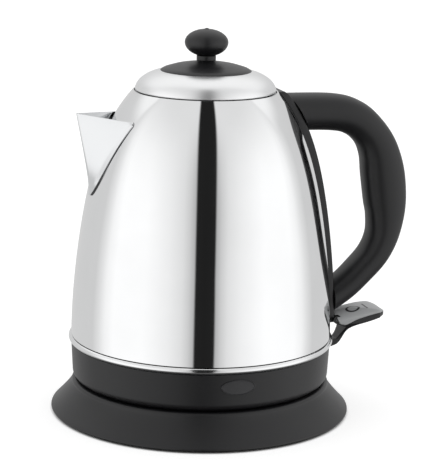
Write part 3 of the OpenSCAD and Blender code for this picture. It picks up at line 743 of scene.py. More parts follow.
def arc(cx: float, cy: float, r: float, start: float, end: float, steps: int = 10) -> list[Point]:
    """Gives points along an arc.

    Args:
        cx: centre, across.
        cy: centre, up.
        r: radius.
        start: first angle in degrees.
        end: last angle in degrees.
        steps: number of steps.

    Returns:
        The points, both ends included.
    """
    return [(cx + r * math.cos(math.radians(start + (end - start) * i / steps)),
             cy + r * math.sin(math.radians(start + (end - start) * i / steps))) for i in range(steps + 1)]


def smooth_line(points: Sequence[Sequence[float]], steps: int) -> list[tuple[float, ...]]:
    """Gives a Catmull-Rom curve through points.

    Args:
        points: the points, of any dimension.
        steps: steps between neighbours.

    Returns:
        Points along the curve.
    """
    made: list[tuple[float, ...]] = []
    for a in range(len(points) - 1):
        p0, p1, p2 = points[max(a - 1, 0)], points[a], points[a + 1]
        p3 = points[min(a + 2, len(points) - 1)]
        for i in range(steps):
            t = i / steps
            made.append(tuple((2 * q1 + (q2 - q0) * t + (2 * q0 - 5 * q1 + 4 * q2 - q3) * t * t
                               + (3 * q1 - q0 - 3 * q2 + q3) * t ** 3) / 2
                              for q0, q1, q2, q3 in zip(p0, p1, p2, p3)))
    return made + [tuple(points[-1])]


class Recipe:
    """A Geometry Nodes tree with named inputs, run once on an object."""

    def __init__(self, name: str) -> None:
        """Starts an empty tree.

        Args:
            name: the tree's name.
        """
        self.group = bpy.data.node_groups.new(name, "GeometryNodeTree")
        self.graph = Graph(self.group)
        self.values: dict[str, tuple[str, Any]] = {}
        self.group.interface.new_socket(name="Geometry", in_out="INPUT", socket_type="NodeSocketGeometry")
        self.group.interface.new_socket(name="Geometry", in_out="OUTPUT", socket_type="NodeSocketGeometry")
        self.entry = self.graph.node("NodeGroupInput")

    def given(self, name: str, value: float | int) -> Field:
        """Adds a named input.

        Args:
            name: the input's name.
            value: its value in this run; a whole number makes a whole-number input.

        Returns:
            The input as a number.
        """
        kind = "NodeSocketInt" if isinstance(value, int) else "NodeSocketFloat"
        made = self.group.interface.new_socket(name=name, in_out="INPUT", socket_type=kind)
        self.values[name] = (made.identifier, value)
        return Field(self.graph, self.graph.pick(self.entry.outputs, made.identifier))

    @property
    def geometry(self) -> bpy.types.NodeSocket:
        """The geometry that the object brings."""
        return self.entry.outputs[0]

    def run(self, made: bpy.types.Object, result: bpy.types.NodeSocket, finish: Finish) -> bpy.types.Object:
        """Ends the tree, runs it on an object and keeps the result as a plain mesh.

        Args:
            made: the object.
            result: the tree's last geometry.
            finish: the finish of every face.

        Returns:
            The object.
        """
        real = self.graph.node("GeometryNodeRealizeInstances", inputs={0: result})
        dressed = self.graph.node("GeometryNodeSetMaterial", inputs={
            "Geometry": real.outputs[0], "Material": finish.material()})
        self.graph.node("NodeGroupOutput", inputs={0: dressed.outputs[0]})
        modifier = made.modifiers.new(self.group.name, "NODES")
        modifier.node_group = self.group
        for identifier, value in self.values.values():
            modifier[identifier] = value
        return Bench.applied(made)


# ---------------------------------------------------------------- the kettle's pieces


@dataclass(frozen=True)
class JugLine:
    """The jug's outline: a long gentle bulge and a tighter shoulder."""

    foot_r: float = 76.5
    rim_r: float = 42.1
    foot_z: float = 45.0
    height: float = 143.8
    bulge_share: float = 0.65
    bulge_power: float = 1.8
    shoulder_power: float = 7.2

    @property
    def rim_z(self) -> float:
        """Height of the rim."""
        return self.foot_z + self.height

    def radius(self, z: float) -> float:
        """Outer radius of the jug at a height."""
        t = min(max((z - self.foot_z) / self.height, 0.0), 1.0)
        return self.foot_r - (self.foot_r - self.rim_r) * (
            self.bulge_share * t ** self.bulge_power + (1 - self.bulge_share) * t ** self.shoulder_power)

    def line(self, low: float, high: float, grow: float, steps: int) -> list[Point]:
        """Gives points along the outline.

        Args:
            low: first height.
            high: last height.
            grow: distance added to the radius.
            steps: number of steps.

        Returns:
            Radius and height of each point.
        """
        heights = [low + (high - low) * i / steps for i in range(steps + 1)]
        return [(self.radius(z) + grow, z) for z in heights]


LINE = JugLine()


@dataclass
class JugWall:
    """The steel wall with its strainer, and the ledge that the lid drops into."""

    sheet: float = 0.8
    ledge_drop: float = 1.6
    mouth_r: float = 37.0
    hole_r: float = 1.6
    hole_pitch: float = 5.2
    hole_rows: int = 7
    first_row_z: float = 169.3
    around: int = 240
    up: int = 84

    def rule(self, recipe: Recipe) -> Callable[[Field], Field]:
        """Adds the outline's sizes to a tree.

        Args:
            recipe: the tree.

        Returns:
            A function that gives the outer radius at a share of the height.
        """
        foot = recipe.given("Foot Radius", LINE.foot_r * MM)
        rim = recipe.given("Rim Radius", LINE.rim_r * MM)
        share = recipe.given("Bulge Share", LINE.bulge_share)
        bulge = recipe.given("Bulge Power", LINE.bulge_power)
        shoulder = recipe.given("Shoulder Power", LINE.shoulder_power)
        return lambda t: foot - (foot - rim) * (share * t ** bulge + (1 - share) * t ** shoulder)

    def wall(self) -> bpy.types.Object:
        """Builds the wall by its rule and drills the strainer."""
        recipe = Recipe("jug_wall_rule")
        g = recipe.graph
        radius = self.rule(recipe)
        foot_z = recipe.given("Foot Height", LINE.foot_z * MM)
        height = recipe.given("Wall Height", LINE.height * MM)
        sheet = recipe.given("Sheet", self.sheet * MM)
        around = recipe.given("Segments Around", self.around)
        up = recipe.given("Segments Up", self.up)
        rows = up * 2 + 2
        grid = g.node("GeometryNodeMeshGrid", inputs={
            "Size X": 1.0, "Size Y": 1.0, "Vertices X": around + 1, "Vertices Y": rows + 1})
        x, y, _ = g.xyz(g.node("GeometryNodeInputPosition").outputs[0])
        turn = (x + 0.5) * math.tau
        row = g.math("ROUND", (y + 0.5) * rows)
        inner = (row > up + 0.5) * (row < rows - 0.5)
        t = (row * (row < up + 0.5) + inner * (rows - 1 - row)) / up
        reach = radius(t) - inner * sheet
        spot = g.vector(reach * g.math("COSINE", turn), reach * g.math("SINE", turn), foot_z + height * t)
        shaped = g.node("GeometryNodeSetPosition", inputs={"Geometry": grid.outputs[0], "Position": spot})
        welded = g.node("GeometryNodeMergeByDistance", inputs={
            "Geometry": shaped.outputs[0], "Distance": 0.00001})
        holes = self.strainer(recipe, radius, foot_z, height)
        drilled = g.node("GeometryNodeMeshBoolean", {"operation": "DIFFERENCE", "solver": "EXACT"},
                         {"Mesh 1": welded.outputs[0], "Mesh 2": holes})
        made = Bench.piece("jug_wall", [(0, 0, 0)], [])
        recipe.run(made, drilled.outputs[0], JUG_STEEL)
        Bench.tidy(made)
        Bench.soften(made, 30)
        return made

    def strainer(self, recipe: Recipe, radius: Callable[[Field], Field], foot_z: Field,
                 height: Field) -> bpy.types.NodeSocket:
        """Adds the drills of the strainer, a triangle of holes behind the spout.

        Args:
            recipe: the tree.
            radius: the wall's rule.
            foot_z: height of the wall's foot.
            height: height of the wall.

        Returns:
            The drills' geometry.
        """
        g = recipe.graph
        rows = recipe.given("Strainer Rows", self.hole_rows)
        pitch = recipe.given("Strainer Pitch", self.hole_pitch * MM)
        first = recipe.given("First Row Height", self.first_row_z * MM)
        hole_r = recipe.given("Hole Radius", self.hole_r * MM)
        grid = g.node("GeometryNodeMeshGrid", inputs={
            "Size X": rows - 1, "Size Y": rows - 1, "Vertices X": rows, "Vertices Y": rows})
        x, y, _ = g.xyz(g.node("GeometryNodeInputPosition").outputs[0])
        row = g.math("ROUND", y + (rows - 1) / 2)
        column = g.math("ROUND", x + (rows - 1) / 2)
        z = first - row * pitch
        reach = radius((z - foot_z) / height)
        turn = (column - (rows - 1 - row) / 2) * pitch / reach + math.pi
        spot = g.vector(reach * g.math("COSINE", turn), reach * g.math("SINE", turn), z)
        kept = column + row < rows - 0.5
        tilt = g.node("FunctionNodeEulerToRotation", inputs={0: g.vector(0.0, math.pi / 2, turn)})
        drill = g.node("GeometryNodeMeshCylinder", inputs={
            "Vertices": 20, "Radius": hole_r, "Depth": 0.009})
        stored = g.node("GeometryNodeStoreNamedAttribute", {"data_type": "BOOLEAN", "domain": "POINT"}, {
            "Geometry": grid.outputs[0], "Name": "kept", "Value": kept})
        turned = g.node("GeometryNodeStoreNamedAttribute", {"data_type": "QUATERNION", "domain": "POINT"}, {
            "Geometry": stored.outputs[0], "Name": "tilt", "Value": tilt.outputs[0]})
        placed = g.node("GeometryNodeSetPosition", inputs={"Geometry": turned.outputs[0], "Position": spot})
        flag = g.node("GeometryNodeInputNamedAttribute", {"data_type": "BOOLEAN"}, {"Name": "kept"})
        way = g.node("GeometryNodeInputNamedAttribute", {"data_type": "QUATERNION"}, {"Name": "tilt"})
        drills = g.node("GeometryNodeInstanceOnPoints", inputs={
            "Points": placed.outputs[0], "Selection": flag.outputs[0], "Instance": drill.outputs[0],
            "Rotation": way.outputs[0]})
        return g.node("GeometryNodeRealizeInstances", inputs={0: drills.outputs[0]}).outputs[0]

    def ledge(self) -> bpy.types.Object:
        """Turns the rolled rim and the ledge that carries the lid."""
        rim_z, ledge_z = LINE.rim_z, LINE.rim_z - self.ledge_drop
        wall_r = LINE.rim_r - self.sheet
        return Bench.turned("mouth_ledge", [
            (wall_r - 0.02, ledge_z + 0.4), (wall_r - 0.4, ledge_z + 0.08), (wall_r - 0.9, ledge_z),
            *arc(self.mouth_r + self.sheet / 2, ledge_z - self.sheet / 2, self.sheet / 2, 90, 270, 8),
            (wall_r + 0.4, ledge_z - self.sheet), (wall_r + 0.4, ledge_z + 0.4)])

    def build(self) -> None:
        """Builds and dresses the wall and its ledge."""
        Bench.dressed(self.wall(), JUG_STEEL, Body.JUG, Slot.POLISHED, "vessel")
        Bench.dressed(self.ledge(), INNER_STEEL, Body.JUG, Slot.INNER)


@dataclass
class JugFoot:
    """The trim ring, the black collar with the jug's underside, and the bare badge."""

    collar_z: float = 18.5
    ring_z: float = 40.9
    ring_h: float = 3.7
    ring_out: float = 1.5
    ring_in: float = 2.4
    collar_top_r: float = 76.6
    collar_low_r: float = 75.6
    collar_round: float = 4.8
    wall: float = 2.2
    well_r: float = 17.6
    well_wall: float = 2.0
    well_top: float = 37.0
    screw_ring_r: float = 65.0
    badge: tuple[float, float, float] = (20.0, 8.8, 33.1)

    def ring(self) -> bpy.types.Object:
        """Turns the trim ring with its full round bead."""
        bead = self.ring_h / 2
        inner = LINE.foot_r - self.ring_in
        return Bench.turned("trim_bead", [
            (inner, self.ring_z),
            *arc(LINE.foot_r + self.ring_out - bead, self.ring_z + bead, bead, -90, 90, 16),
            (inner, self.ring_z + self.ring_h)], 256)

    def collar(self) -> bpy.types.Object:
        """Turns the collar and the flat underside with its well, and cuts its openings."""
        low, floor = self.collar_z, self.collar_z + self.wall
        lip_r, r = self.collar_low_r - self.collar_round, self.collar_round
        made = Bench.turned("foot_collar", [
            (self.well_r + 0.6, low), *arc(lip_r, low + r, r, -90, 0, 14),
            (self.collar_top_r - 0.1, self.ring_z - 0.5), (self.collar_top_r - 0.5, self.ring_z - 0.05),
            (self.collar_top_r - self.wall, self.ring_z - 0.05), (self.collar_low_r - self.wall, low + r),
            *arc(lip_r, low + r, r - self.wall, -10, -90, 6),
            (self.well_r + self.well_wall, floor), (self.well_r + self.well_wall, self.well_top),
            (self.well_r, self.well_top), (self.well_r, low + 0.6)], 256)
        cutters = [Bench.block("toe_slot", (69.6, -6, 29.8), (89.6, 6, 37.7))]
        for i in range(3):
            a = math.radians(60 + 120 * i)
            x, y = self.screw_ring_r * math.cos(a), self.screw_ring_r * math.sin(a)
            cutters.append(Bench.rod("counterbore", (x, y, low - 1), (x, y, low + 1.2), 3.5))
        return Bench.cut(made, *cutters)

    def oval(self) -> bpy.types.Object:
        """Lofts the bare badge: an oval pad with a raised rim, bent to the collar's side."""
        w, h, z = self.badge
        rings = []
        for share, out in ((1.0, -0.9), (1.0, 0.10), (0.985, 0.36), (0.955, 0.48), (0.92, 0.46), (0.895, 0.28),
                           (0.87, 0.12), (0.80, 0.10), (0.4, 0.10), (0.02, 0.10)):
            ring = []
            for i in range(64):
                a = math.tau * i / 64
                edge = (1 - share) * h / 2
                x, dz = (w / 2 - edge) * math.cos(a), (h / 2 - edge) * math.sin(a)
                if share < 0.5:
                    x, dz = w / 2 * share * math.cos(a), h / 2 * share * math.sin(a)
                r = self.collar_low_r + 0.78 + out
                ring.append((x, -math.sqrt(r * r - x * x), z + dz))
            rings.append(ring)
        return Bench.loft("bare_badge", rings, 50)

    def build(self) -> None:
        """Builds and dresses the foot's pieces."""
        Bench.dressed(self.ring(), RING_STEEL, Body.JUG, Slot.POLISHED, "trim_ring")
        Bench.dressed(self.collar(), SATIN_BLACK, Body.JUG, Slot.BLACK, "bottom_housing")
        Bench.dressed(self.oval(), BADGE_BLACK, Body.JUG, Slot.DARK, "collar_badge")


@dataclass
class Spout:
    """The vee spout: straight walls from a rounded keel to a crease, and a narrow flange."""

    top_z: float = 174.5
    height: float = 45.0
    half_w: float = 22.8
    flange_w: float = 2.8
    reach: float = 77.2
    tip_rise: float = 2.9
    sheet: float = 0.8
    seam_power: float = 1.25
    seam_root: float = 0.6
    weld_shadow_r: float = 0.2
    weld_shadow_out: float = 0.04
    weld_shadow_lift: float = 0.02
    corner_t: float = 0.05
    keel_end: float = 0.885
    keel_round: float = 2.6
    crease_round: float = 1.3
    crease_lift: float = 1.9
    crease_taper: float = 0.8
    stations: int = 72

    def seam_half(self, t: float) -> float:
        """Half of the width of the flange's outer edge at a share of the depth."""
        corner = max(1 - t / self.corner_t, 0.0)
        return self.half_w * (1 - t ** self.seam_power) ** self.seam_root * (1 - 0.08 * corner ** 2)

    def crease_half(self, t: float) -> float:
        """Half of the width between the creases at a share of the depth."""
        straight = (self.half_w - self.flange_w + 0.6) * (1 - self.crease_taper * t)
        return max(min(straight, 7.5 * math.sqrt(max(self.keel_end - t, 0.0) / 0.08)), 0.24)

    def on_jug(self, t: float, y: float, grow: float) -> Vector:
        """Gives a point that stands off the jug's wall.

        Args:
            t: share of the spout's depth.
            y: distance to the side.
            grow: distance off the wall.

        Returns:
            The point.
        """
        z = self.top_z - self.height * t
        r = LINE.radius(z) + grow
        return Vector((-math.sqrt(r * r - y * y), y, z))

    def keel(self, t: float, inset: float) -> Vector:
        """Gives a point of the keel's line.

        Args:
            t: share of the spout's depth.
            inset: distance inwards.

        Returns:
            The point.
        """
        end_x = LINE.radius(self.top_z - self.height * self.keel_end) + self.crease_lift
        z = self.top_z - self.height * t + self.tip_rise * max(1 - t / self.keel_end, 0.0)
        if t < self.keel_end:
            x = self.reach + (end_x - self.reach) * t / self.keel_end
        else:
            x = LINE.radius(z) + self.crease_lift * (1 - 0.5 * (t - self.keel_end) / (1 - self.keel_end))
        return Vector((-(x - inset), 0.0, z))

    @staticmethod
    def corner(before: Vector, at: Vector, after: Vector, reach: float, steps: int) -> list[Vector]:
        """Rounds a corner of a section.

        Args:
            before: the point before the corner.
            at: the corner.
            after: the point after it.
            reach: how far from the corner the rounding starts.
            steps: number of steps.

        Returns:
            Points round the corner.
        """
        a = at + (before - at).normalized() * min(reach, (before - at).length * 0.45)
        b = at + (after - at).normalized() * min(reach, (after - at).length * 0.45)
        return [a * (1 - s) ** 2 + at * 2 * s * (1 - s) + b * s * s for s in (i / steps for i in range(steps + 1))]

    def section(self, t: float, inset: float) -> list[Vector]:
        """Gives the spout's section at a share of its depth.

        Args:
            t: share of the depth.
            inset: distance inwards, the sheet's thickness for the inner side.

        Returns:
            Points from one flange edge to the other.
        """
        k = self.keel(t, inset)
        half = max(self.crease_half(t) - inset * (1 if t < self.keel_end else 0), 0.12)
        lift = min(self.crease_lift, math.hypot(k.x, k.y) - LINE.radius(k.z) + inset) - inset
        wide = max(self.seam_half(t), half + 0.3)
        left, right = self.on_jug(t, half, lift), self.on_jug(t, -half, lift)
        foot_l = self.on_jug(t, wide, self.sheet + 0.1 - inset)
        foot_r = self.on_jug(t, -wide, self.sheet + 0.1 - inset)
        return [foot_l, *self.corner(foot_l, left, k, self.crease_round, 5),
                *self.corner(left, k, right, self.keel_round, 10),
                *self.corner(k, right, foot_r, self.crease_round, 5), foot_r]

    def shell(self) -> bpy.types.Object:
        """Lofts the spout's sheet."""
        shares = [0.99 * (i / self.stations) ** 1.15 for i in range(self.stations + 1)]
        rings = []
        for t in shares:
            outer, inner = self.section(t, 0.0), self.section(t, self.sheet)
            rings.append([tuple(p) for p in outer + inner[::-1]])
        return Bench.loft("spout_shell", rings, 38)

    def weld(self) -> bpy.types.Object:
        """Sweeps a thin dark line along the flange's outer edge, at the weld: painted shade of the narrow gap there."""
        path: list[Vector] = []
        shares = [0.99 * (i / 60) ** 1.3 for i in range(61)]
        for side in (1, -1):
            line = [self.on_jug(t, side * (self.seam_half(t) + self.weld_shadow_out), self.weld_shadow_lift) for t in shares]
            path += line if side > 0 else line[::-1]
        rings = []
        for i, p in enumerate(path):
            a, b = path[max(i - 1, 0)], path[min(i + 1, len(path) - 1)]
            ahead = (b - a).normalized()
            off = Vector((p.x, p.y, 0)).normalized()
            side = ahead.cross(off).normalized()
            up = side.cross(ahead)
            rings.append([tuple(p + side * u + up * v) for u, v in arc(0, 0, self.weld_shadow_r, 0, 315, 7)])
        return Bench.loft("spout_weld_shadow", rings, 60)

    def build(self) -> None:
        """Builds and dresses the spout."""
        Bench.dressed(self.shell(), SPOUT_STEEL_SHADED, Body.JUG, Slot.POLISHED, "spout")
        # The dark line at the flange's edge is painted shade, laid on the weld.
        Bench.dressed(self.weld(), WELD_SHADOW_DARK, Body.JUG, Slot.INNER)


@dataclass
class Handle:
    """The spine down the jug's back and the loop grip."""

    spine_w: float = 20.0
    spine_t: float = 4.0
    spine_low: float = 50.2
    spine_top: float = 188.4
    grip_w: float = 24.0
    grip_out: float = 37.4
    grip_t: float = 26.6
    low_joint: float = 64.6
    top_joint: float = 175.0
    squareness: float = 0.86
    stations: tuple[Spot, ...] = (
        (0.02, 0.997, 0.82), (0.40, 0.962, 0.80), (0.67, 0.885, 0.79), (0.84, 0.785, 0.88),
        (0.93, 0.66, 0.99), (0.985, 0.52, 0.97), (1, 0.42, 0.86), (0.955, 0.308, 0.73),
        (0.815, 0.207, 0.665), (0.565, 0.113, 0.635), (0.285, 0.027, 0.62))
    pivot: Point = (83.0, 49.4)
    lug_w: float = 8.0
    barrel_r: float = 2.5

    def grip_path(self) -> list[tuple[float, ...]]:
        """Gives the grip's path: reach, height and depth of each station."""
        span = self.top_joint - self.low_joint
        line = [(LINE.radius(self.top_joint) - 6.5, self.top_joint + 0.4, 0.82 * self.grip_t)]
        line += [(LINE.foot_r + self.grip_out * a, self.low_joint + span * b, self.grip_t * c)
                 for a, b, c in self.stations]
        line.append((LINE.radius(self.low_joint) - 3.0, self.low_joint - 6.0, 0.62 * self.grip_t))
        return smooth_line(line, 12)

    def grip(self) -> bpy.types.Object:
        """Sweeps the grip: an oval section square to the path, deeper at the palm."""
        path = self.grip_path()
        mesh = bpy.data.meshes.new("grip")
        mesh.from_pydata([(x * MM, 0.0, z * MM) for x, z, _ in path], [(i, i + 1) for i in range(len(path) - 1)], [])
        depth = mesh.attributes.new("depth", "FLOAT", "POINT")
        depth.data.foreach_set("value", [d * MM for _, _, d in path])
        made = bpy.data.objects.new("grip", mesh)
        bpy.context.scene.collection.objects.link(made)
        recipe = Recipe("grip_sweep")
        g = recipe.graph
        width = recipe.given("Width", self.grip_w * MM)
        square = recipe.given("Squareness", self.squareness)
        around = recipe.given("Segments Around", 64)
        along = recipe.given("Segments Along", 168)
        line = g.node("GeometryNodeMeshToCurve", inputs={0: recipe.geometry})
        grid = g.node("GeometryNodeMeshGrid", inputs={
            "Size X": 1.0, "Size Y": 1.0, "Vertices X": around + 1, "Vertices Y": along + 1})
        x, y, _ = g.xyz(g.node("GeometryNodeInputPosition").outputs[0])
        thick = g.node("GeometryNodeInputNamedAttribute", {"data_type": "FLOAT"}, {"Name": "depth"})
        sample = g.node("GeometryNodeSampleCurve", {"mode": "FACTOR", "data_type": "FLOAT"}, {
            "Curves": line.outputs[0], "Value": thick.outputs[0], "Factor": y + 0.5})
        px, _, pz = g.xyz(self._socket(sample, "Position"))
        tx, _, tz = g.xyz(self._socket(sample, "Tangent"))
        deep = Field(g, self._socket(sample, "Value"))
        turn = (x + 0.5) * math.tau
        c, s = g.math("COSINE", turn), g.math("SINE", turn)
        u = g.math("SIGN", c) * abs(c) ** square * deep * 0.5
        v = g.math("SIGN", s) * abs(s) ** square * width * 0.5
        spot = g.vector(px - tz * u, v, pz + tx * u)
        shaped = g.node("GeometryNodeSetPosition", inputs={"Geometry": grid.outputs[0], "Position": spot})
        welded = g.node("GeometryNodeMergeByDistance", inputs={
            "Geometry": shaped.outputs[0], "Distance": 0.00001})
        recipe.run(made, welded.outputs[0], GRIP_BLACK)
        self._close(made)
        Bench.tidy(made)
        wall = LINE.line(self.spine_low - 15, self.spine_top + 15, self.spine_t + 0.05, 90)
        outline = [(0.0, -self.grip_w, wall[0][1]), *[(r, -self.grip_w, z) for r, z in wall],
                   (0.0, -self.grip_w, wall[-1][1])]
        return Bench.cut(made, Bench.prism("seat", outline, (0, 2 * self.grip_w, 0)), angle=50)

    @staticmethod
    def _socket(made: bpy.types.Node, name: str) -> bpy.types.NodeSocket:
        """Gives the enabled output of that name."""
        return next(s for s in made.outputs if s.name == name and s.enabled)

    @staticmethod
    def _close(made: bpy.types.Object) -> None:
        """Closes the open ends of a swept piece."""
        work = bmesh.new()
        work.from_mesh(made.data)
        bmesh.ops.holes_fill(work, edges=[e for e in work.edges if e.is_boundary], sides=0)
        work.to_mesh(made.data)
        work.free()

    def spine(self) -> bpy.types.Object:
        """Lofts the spine, a band with rounded outer edges, and joins its hinge lug."""
        half, soft = self.spine_w / 2, 1.1
        rings = []
        for i in range(97):
            z = self.spine_low + (self.spine_top - self.spine_low) * i / 96
            end = min(z - self.spine_low, self.spine_top - z)
            drop = soft - math.sqrt(max(soft * soft - (soft - min(end, soft)) ** 2, 0.0))
            out = LINE.radius(z) + self.spine_t - drop
            side = half - drop
            edge = [(out - soft + p, q) for p, q in arc(0, side - soft, soft, 0, 90, 5)]
            section = edge + [(out - self.spine_t * 0.9, side)]
            inner = [(self._touch(z, q), q) for q in (side, side * 0.6, side * 0.2, -side * 0.2, -side * 0.6, -side)]
            flat = [(out, q) for q in (-side * 0.4, side * 0.4)]
            ring = section + inner + [(p, -q) for p, q in section[::-1]] + flat
            rings.append([(p, q, z) for p, q in ring])
        made = Bench.loft("handle_band", rings, 40)
        lug = self.lug()
        return self._joined(made, lug)

    def _touch(self, z: float, y: float) -> float:
        """Gives how far out the jug's wall stands at a height and a distance to the side."""
        r = LINE.radius(z) + 0.3
        return math.sqrt(r * r - y * y)

    def lug(self) -> bpy.types.Object:
        """Lofts the hinge lug at the spine's foot."""
        px, pz = self.pivot
        face = LINE.foot_r + self.spine_t - 0.3
        side = [*arc(px, pz, self.barrel_r, -90, 90, 20), (px - 1.2, pz + self.barrel_r - 0.35),
                (face, self.spine_low + 0.9), (LINE.foot_r + 0.5, self.spine_low + 0.9),
                (LINE.foot_r + 0.5, pz - self.barrel_r - 0.2)]
        half = self.lug_w / 2
        rings = [[(x, y, z) for x, z in side] for y in (-half, half)]
        return Bench.loft("lug", rings, 30)

    @staticmethod
    def _joined(made: bpy.types.Object, *others: bpy.types.Object) -> bpy.types.Object:
        """Joins objects into the first one.

        Args:
            made: the object that stays.
            others: the objects that go into it.

        Returns:
            The joined object.
        """
        work = bmesh.new()
        work.from_mesh(made.data)
        for other in others:
            work.from_mesh(other.data)
            bpy.data.objects.remove(other)
        work.to_mesh(made.data)
        work.free()
        return made

    def build(self) -> None:
        """Builds and dresses the spine and the grip."""
        Bench.dressed(self.spine(), SATIN_BLACK, Body.JUG, Slot.BLACK, "handle_spine")
        Bench.dressed(self.grip(), GRIP_BLACK, Body.JUG, Slot.BLACK, "handle_grip")


@dataclass
class Lever:
    """The switch lever: a black body that narrows into its leg, under a silver cap."""

    pivot: Point = (83.0, 49.4)
    reach: float = 31.5
    width: float = 23.0
    leg_w: float = 9.0
    lug_w: float = 8.0
    knuckle_end: float = 9.0
    gap: float = 0.3
    fit: float = 0.1
    hub_clear: float = 2.8
    barrel_r: float = 2.5
    bore_r: float = 1.05
    start: float = -1.9
    toe: tuple[float, float, float] = (75.0, 33.8, 2.2)
    crown: tuple[float, float, float, float] = (17.0, 7.9, 17.0, 11.0)
    grid: float = 0.3
    top_line: tuple[Point, ...] = (
        (-1.9, 4.1), (0.6, 4.6), (4.2, 5.2), (7.2, 5.8), (11, 6.2), (16, 6.2), (22, 5.8), (26.4, 4.8), (28.7, 3.2))
    under_line: tuple[Point, ...] = (
        (29, 2), (28.2, 1.4), (25.2, 0.6), (18.7, -1.4), (12.6, -3.1), (9, -4.9), (7, -7.6), (5.6, -10.8),
        (4, -13.6), (2, -15.9), (-1.4, -17.4))
    inner_line: tuple[Point, ...] = (
        (1.4, -13), (3.6, -9.7), (5.2, -6.8), (5.4, -4.4), (3.4, -2.6), (0.9, -1.9), (-0.6, 1.6))
    cap_line: tuple[Point, ...] = (
        (-5, -3.2), (0, -3.2), (4, -3), (7, -1.9), (10, -0.4), (14, 1.1), (19, 2.5), (24, 3.5), (28, 3.4), (29, 3.2))

    def placed(self, line: Sequence[Point]) -> list[Point]:
        """Puts a line of the side view in its place, with the paddle stretched to its reach."""
        px, pz = self.pivot
        stretch = (self.reach - 10) / 19
        return [(px + (10 + (x - 10) * stretch if x > 10 else x), pz + z) for x, z in smooth_line(line, 8)]

    def side(self) -> bpy.types.Object:
        """Makes the lever's side view solid."""
        toe_x, toe_z, toe_r = self.toe
        outline = (self.placed(self.top_line) + self.placed(self.under_line)
                   + arc(toe_x, toe_z, toe_r, 270, 90, 12) + self.placed(self.inner_line))
        return Bench.prism("lever_side", [(x, -self.width, z) for x, z in outline], (0, 2 * self.width, 0))

    def plan(self) -> bpy.types.Object:
        """Makes the paddle's plan solid: wide, with a round tip."""
        px, pz = self.pivot
        w, tip = self.width / 2, self.reach
        half = smooth_line([(self.start, w - 1.6), (self.start + 1.2, w - 0.8), (self.start + 3.5, w - 0.3),
                            (tip - 8, w - 0.3), (tip - 4, w - 1.8), (tip - 1.1, w - 5.5), (tip, 0)], 8)
        outline = [(x, -y) for x, y in half] + [(x, y) for x, y in half[::-1][1:]]
        return Bench.prism("lever_plan", [(px + x, y, pz - 15) for x, y in outline], (0, 0, 40))

    def front(self) -> bpy.types.Object:
        """Makes the front view solid: full width above, narrowing into the leg."""
        px, pz = self.pivot
        w, leg = self.width / 2, self.leg_w / 2
        half = smooth_line([(w, 20), (w, 0), (w - 0.3, -2.4), (w - 1.7, -4.4), (w - 4, -6.4), (leg + 1.4, -8.4),
                            (leg + 0.4, -10.6), (leg, -13)], 8)
        outline = half + [(-y, z) for y, z in half[::-1]]
        low_x = px + 2 * self.start
        return Bench.prism("lever_front", [(low_x, y, pz + z) for y, z in outline], (2 * self.reach, 0, 0))

    def whole(self) -> bpy.types.Object:
        """Makes the whole lever: the views' common solid, rounded from side to side."""
        px, pz = self.pivot
        toe_x, toe_z, _ = self.toe
        out, up, r, tilt = self.crown
        t = math.radians(90 - tilt)
        mid = Vector((px + out + r * math.cos(t), 0, pz + up - r * math.sin(t)))
        ahead = Vector((math.sin(t), 0, math.cos(t)))
        leg = self.leg_w / 2
        made = Bench.combined(self.plan(), "INTERSECT", self.front())
        made = Bench.combined(made, "UNION", Bench.block(
            "leg", (toe_x - 10, -leg, toe_z - 10), (px + 10, leg, pz - 2)))
        crown = Bench.combined(Bench.rod("crown", tuple(mid - ahead * 60), tuple(mid + ahead * 60), r, 256),
                               "UNION", Bench.block("foot", (toe_x - 10, -2 * leg, toe_z - 10),
                                                    (toe_x + 20, 2 * leg, toe_z + 6)))
        made = Bench.combined(made, "INTERSECT", self.side(), crown)
        made.name = made.data.name = "lever_body"
        return Bench.moulded(made, self.grid, 5)

    def above(self, clear: float) -> bpy.types.Object:
        """Makes a tool that holds everything above the line on which the cap lies, raised by a clearance."""
        px, pz = self.pivot
        far = px + self.reach + 5
        outline = [(x, z + clear) for x, z in self.placed(self.cap_line)]
        outline += [(far, pz + 3.2 + clear), (far, pz + 30), (px - 5, pz + 30)]
        return Bench.prism("above", [(x, -self.width, z) for x, z in outline], (0, 2 * self.width, 0))

    def axle(self, name: str, r: float, half: float) -> bpy.types.Object:
        """Makes a round tool along the pivot, out to a distance on both sides."""
        px, pz = self.pivot
        return Bench.rod(name, (px, -half, pz), (px, half, pz), r, 64)

    def knuckles(self, grow: float) -> list[bpy.types.Object]:
        """Makes the two hinge knuckles with the arms that run into the paddle's root.

        Args:
            grow: how much larger they are made, as a tool.

        Returns:
            The two knuckles.
        """
        px, pz = self.pivot
        root_x, root_z, r, small = px + 6.4, pz - 4.4, self.barrel_r + grow, 0.8 + grow
        lean = math.degrees(math.atan2(root_z - pz, root_x - px))
        swing = math.degrees(math.asin((r - small) / math.hypot(root_x - px, root_z - pz)))
        outline = (arc(px, pz, r, lean + 90 - swing, lean + 270 + swing, 24)
                   + arc(root_x, root_z, small, lean - 90 + swing, lean + 90 - swing, 8))
        low = self.lug_w / 2 + self.gap - grow
        deep = self.knuckle_end - self.lug_w / 2 - self.gap + 2 * grow
        return [Bench.prism("knuckle", [(x, y, z) for x, z in outline], (0, deep, 0)) for y in (low, -low - deep)]

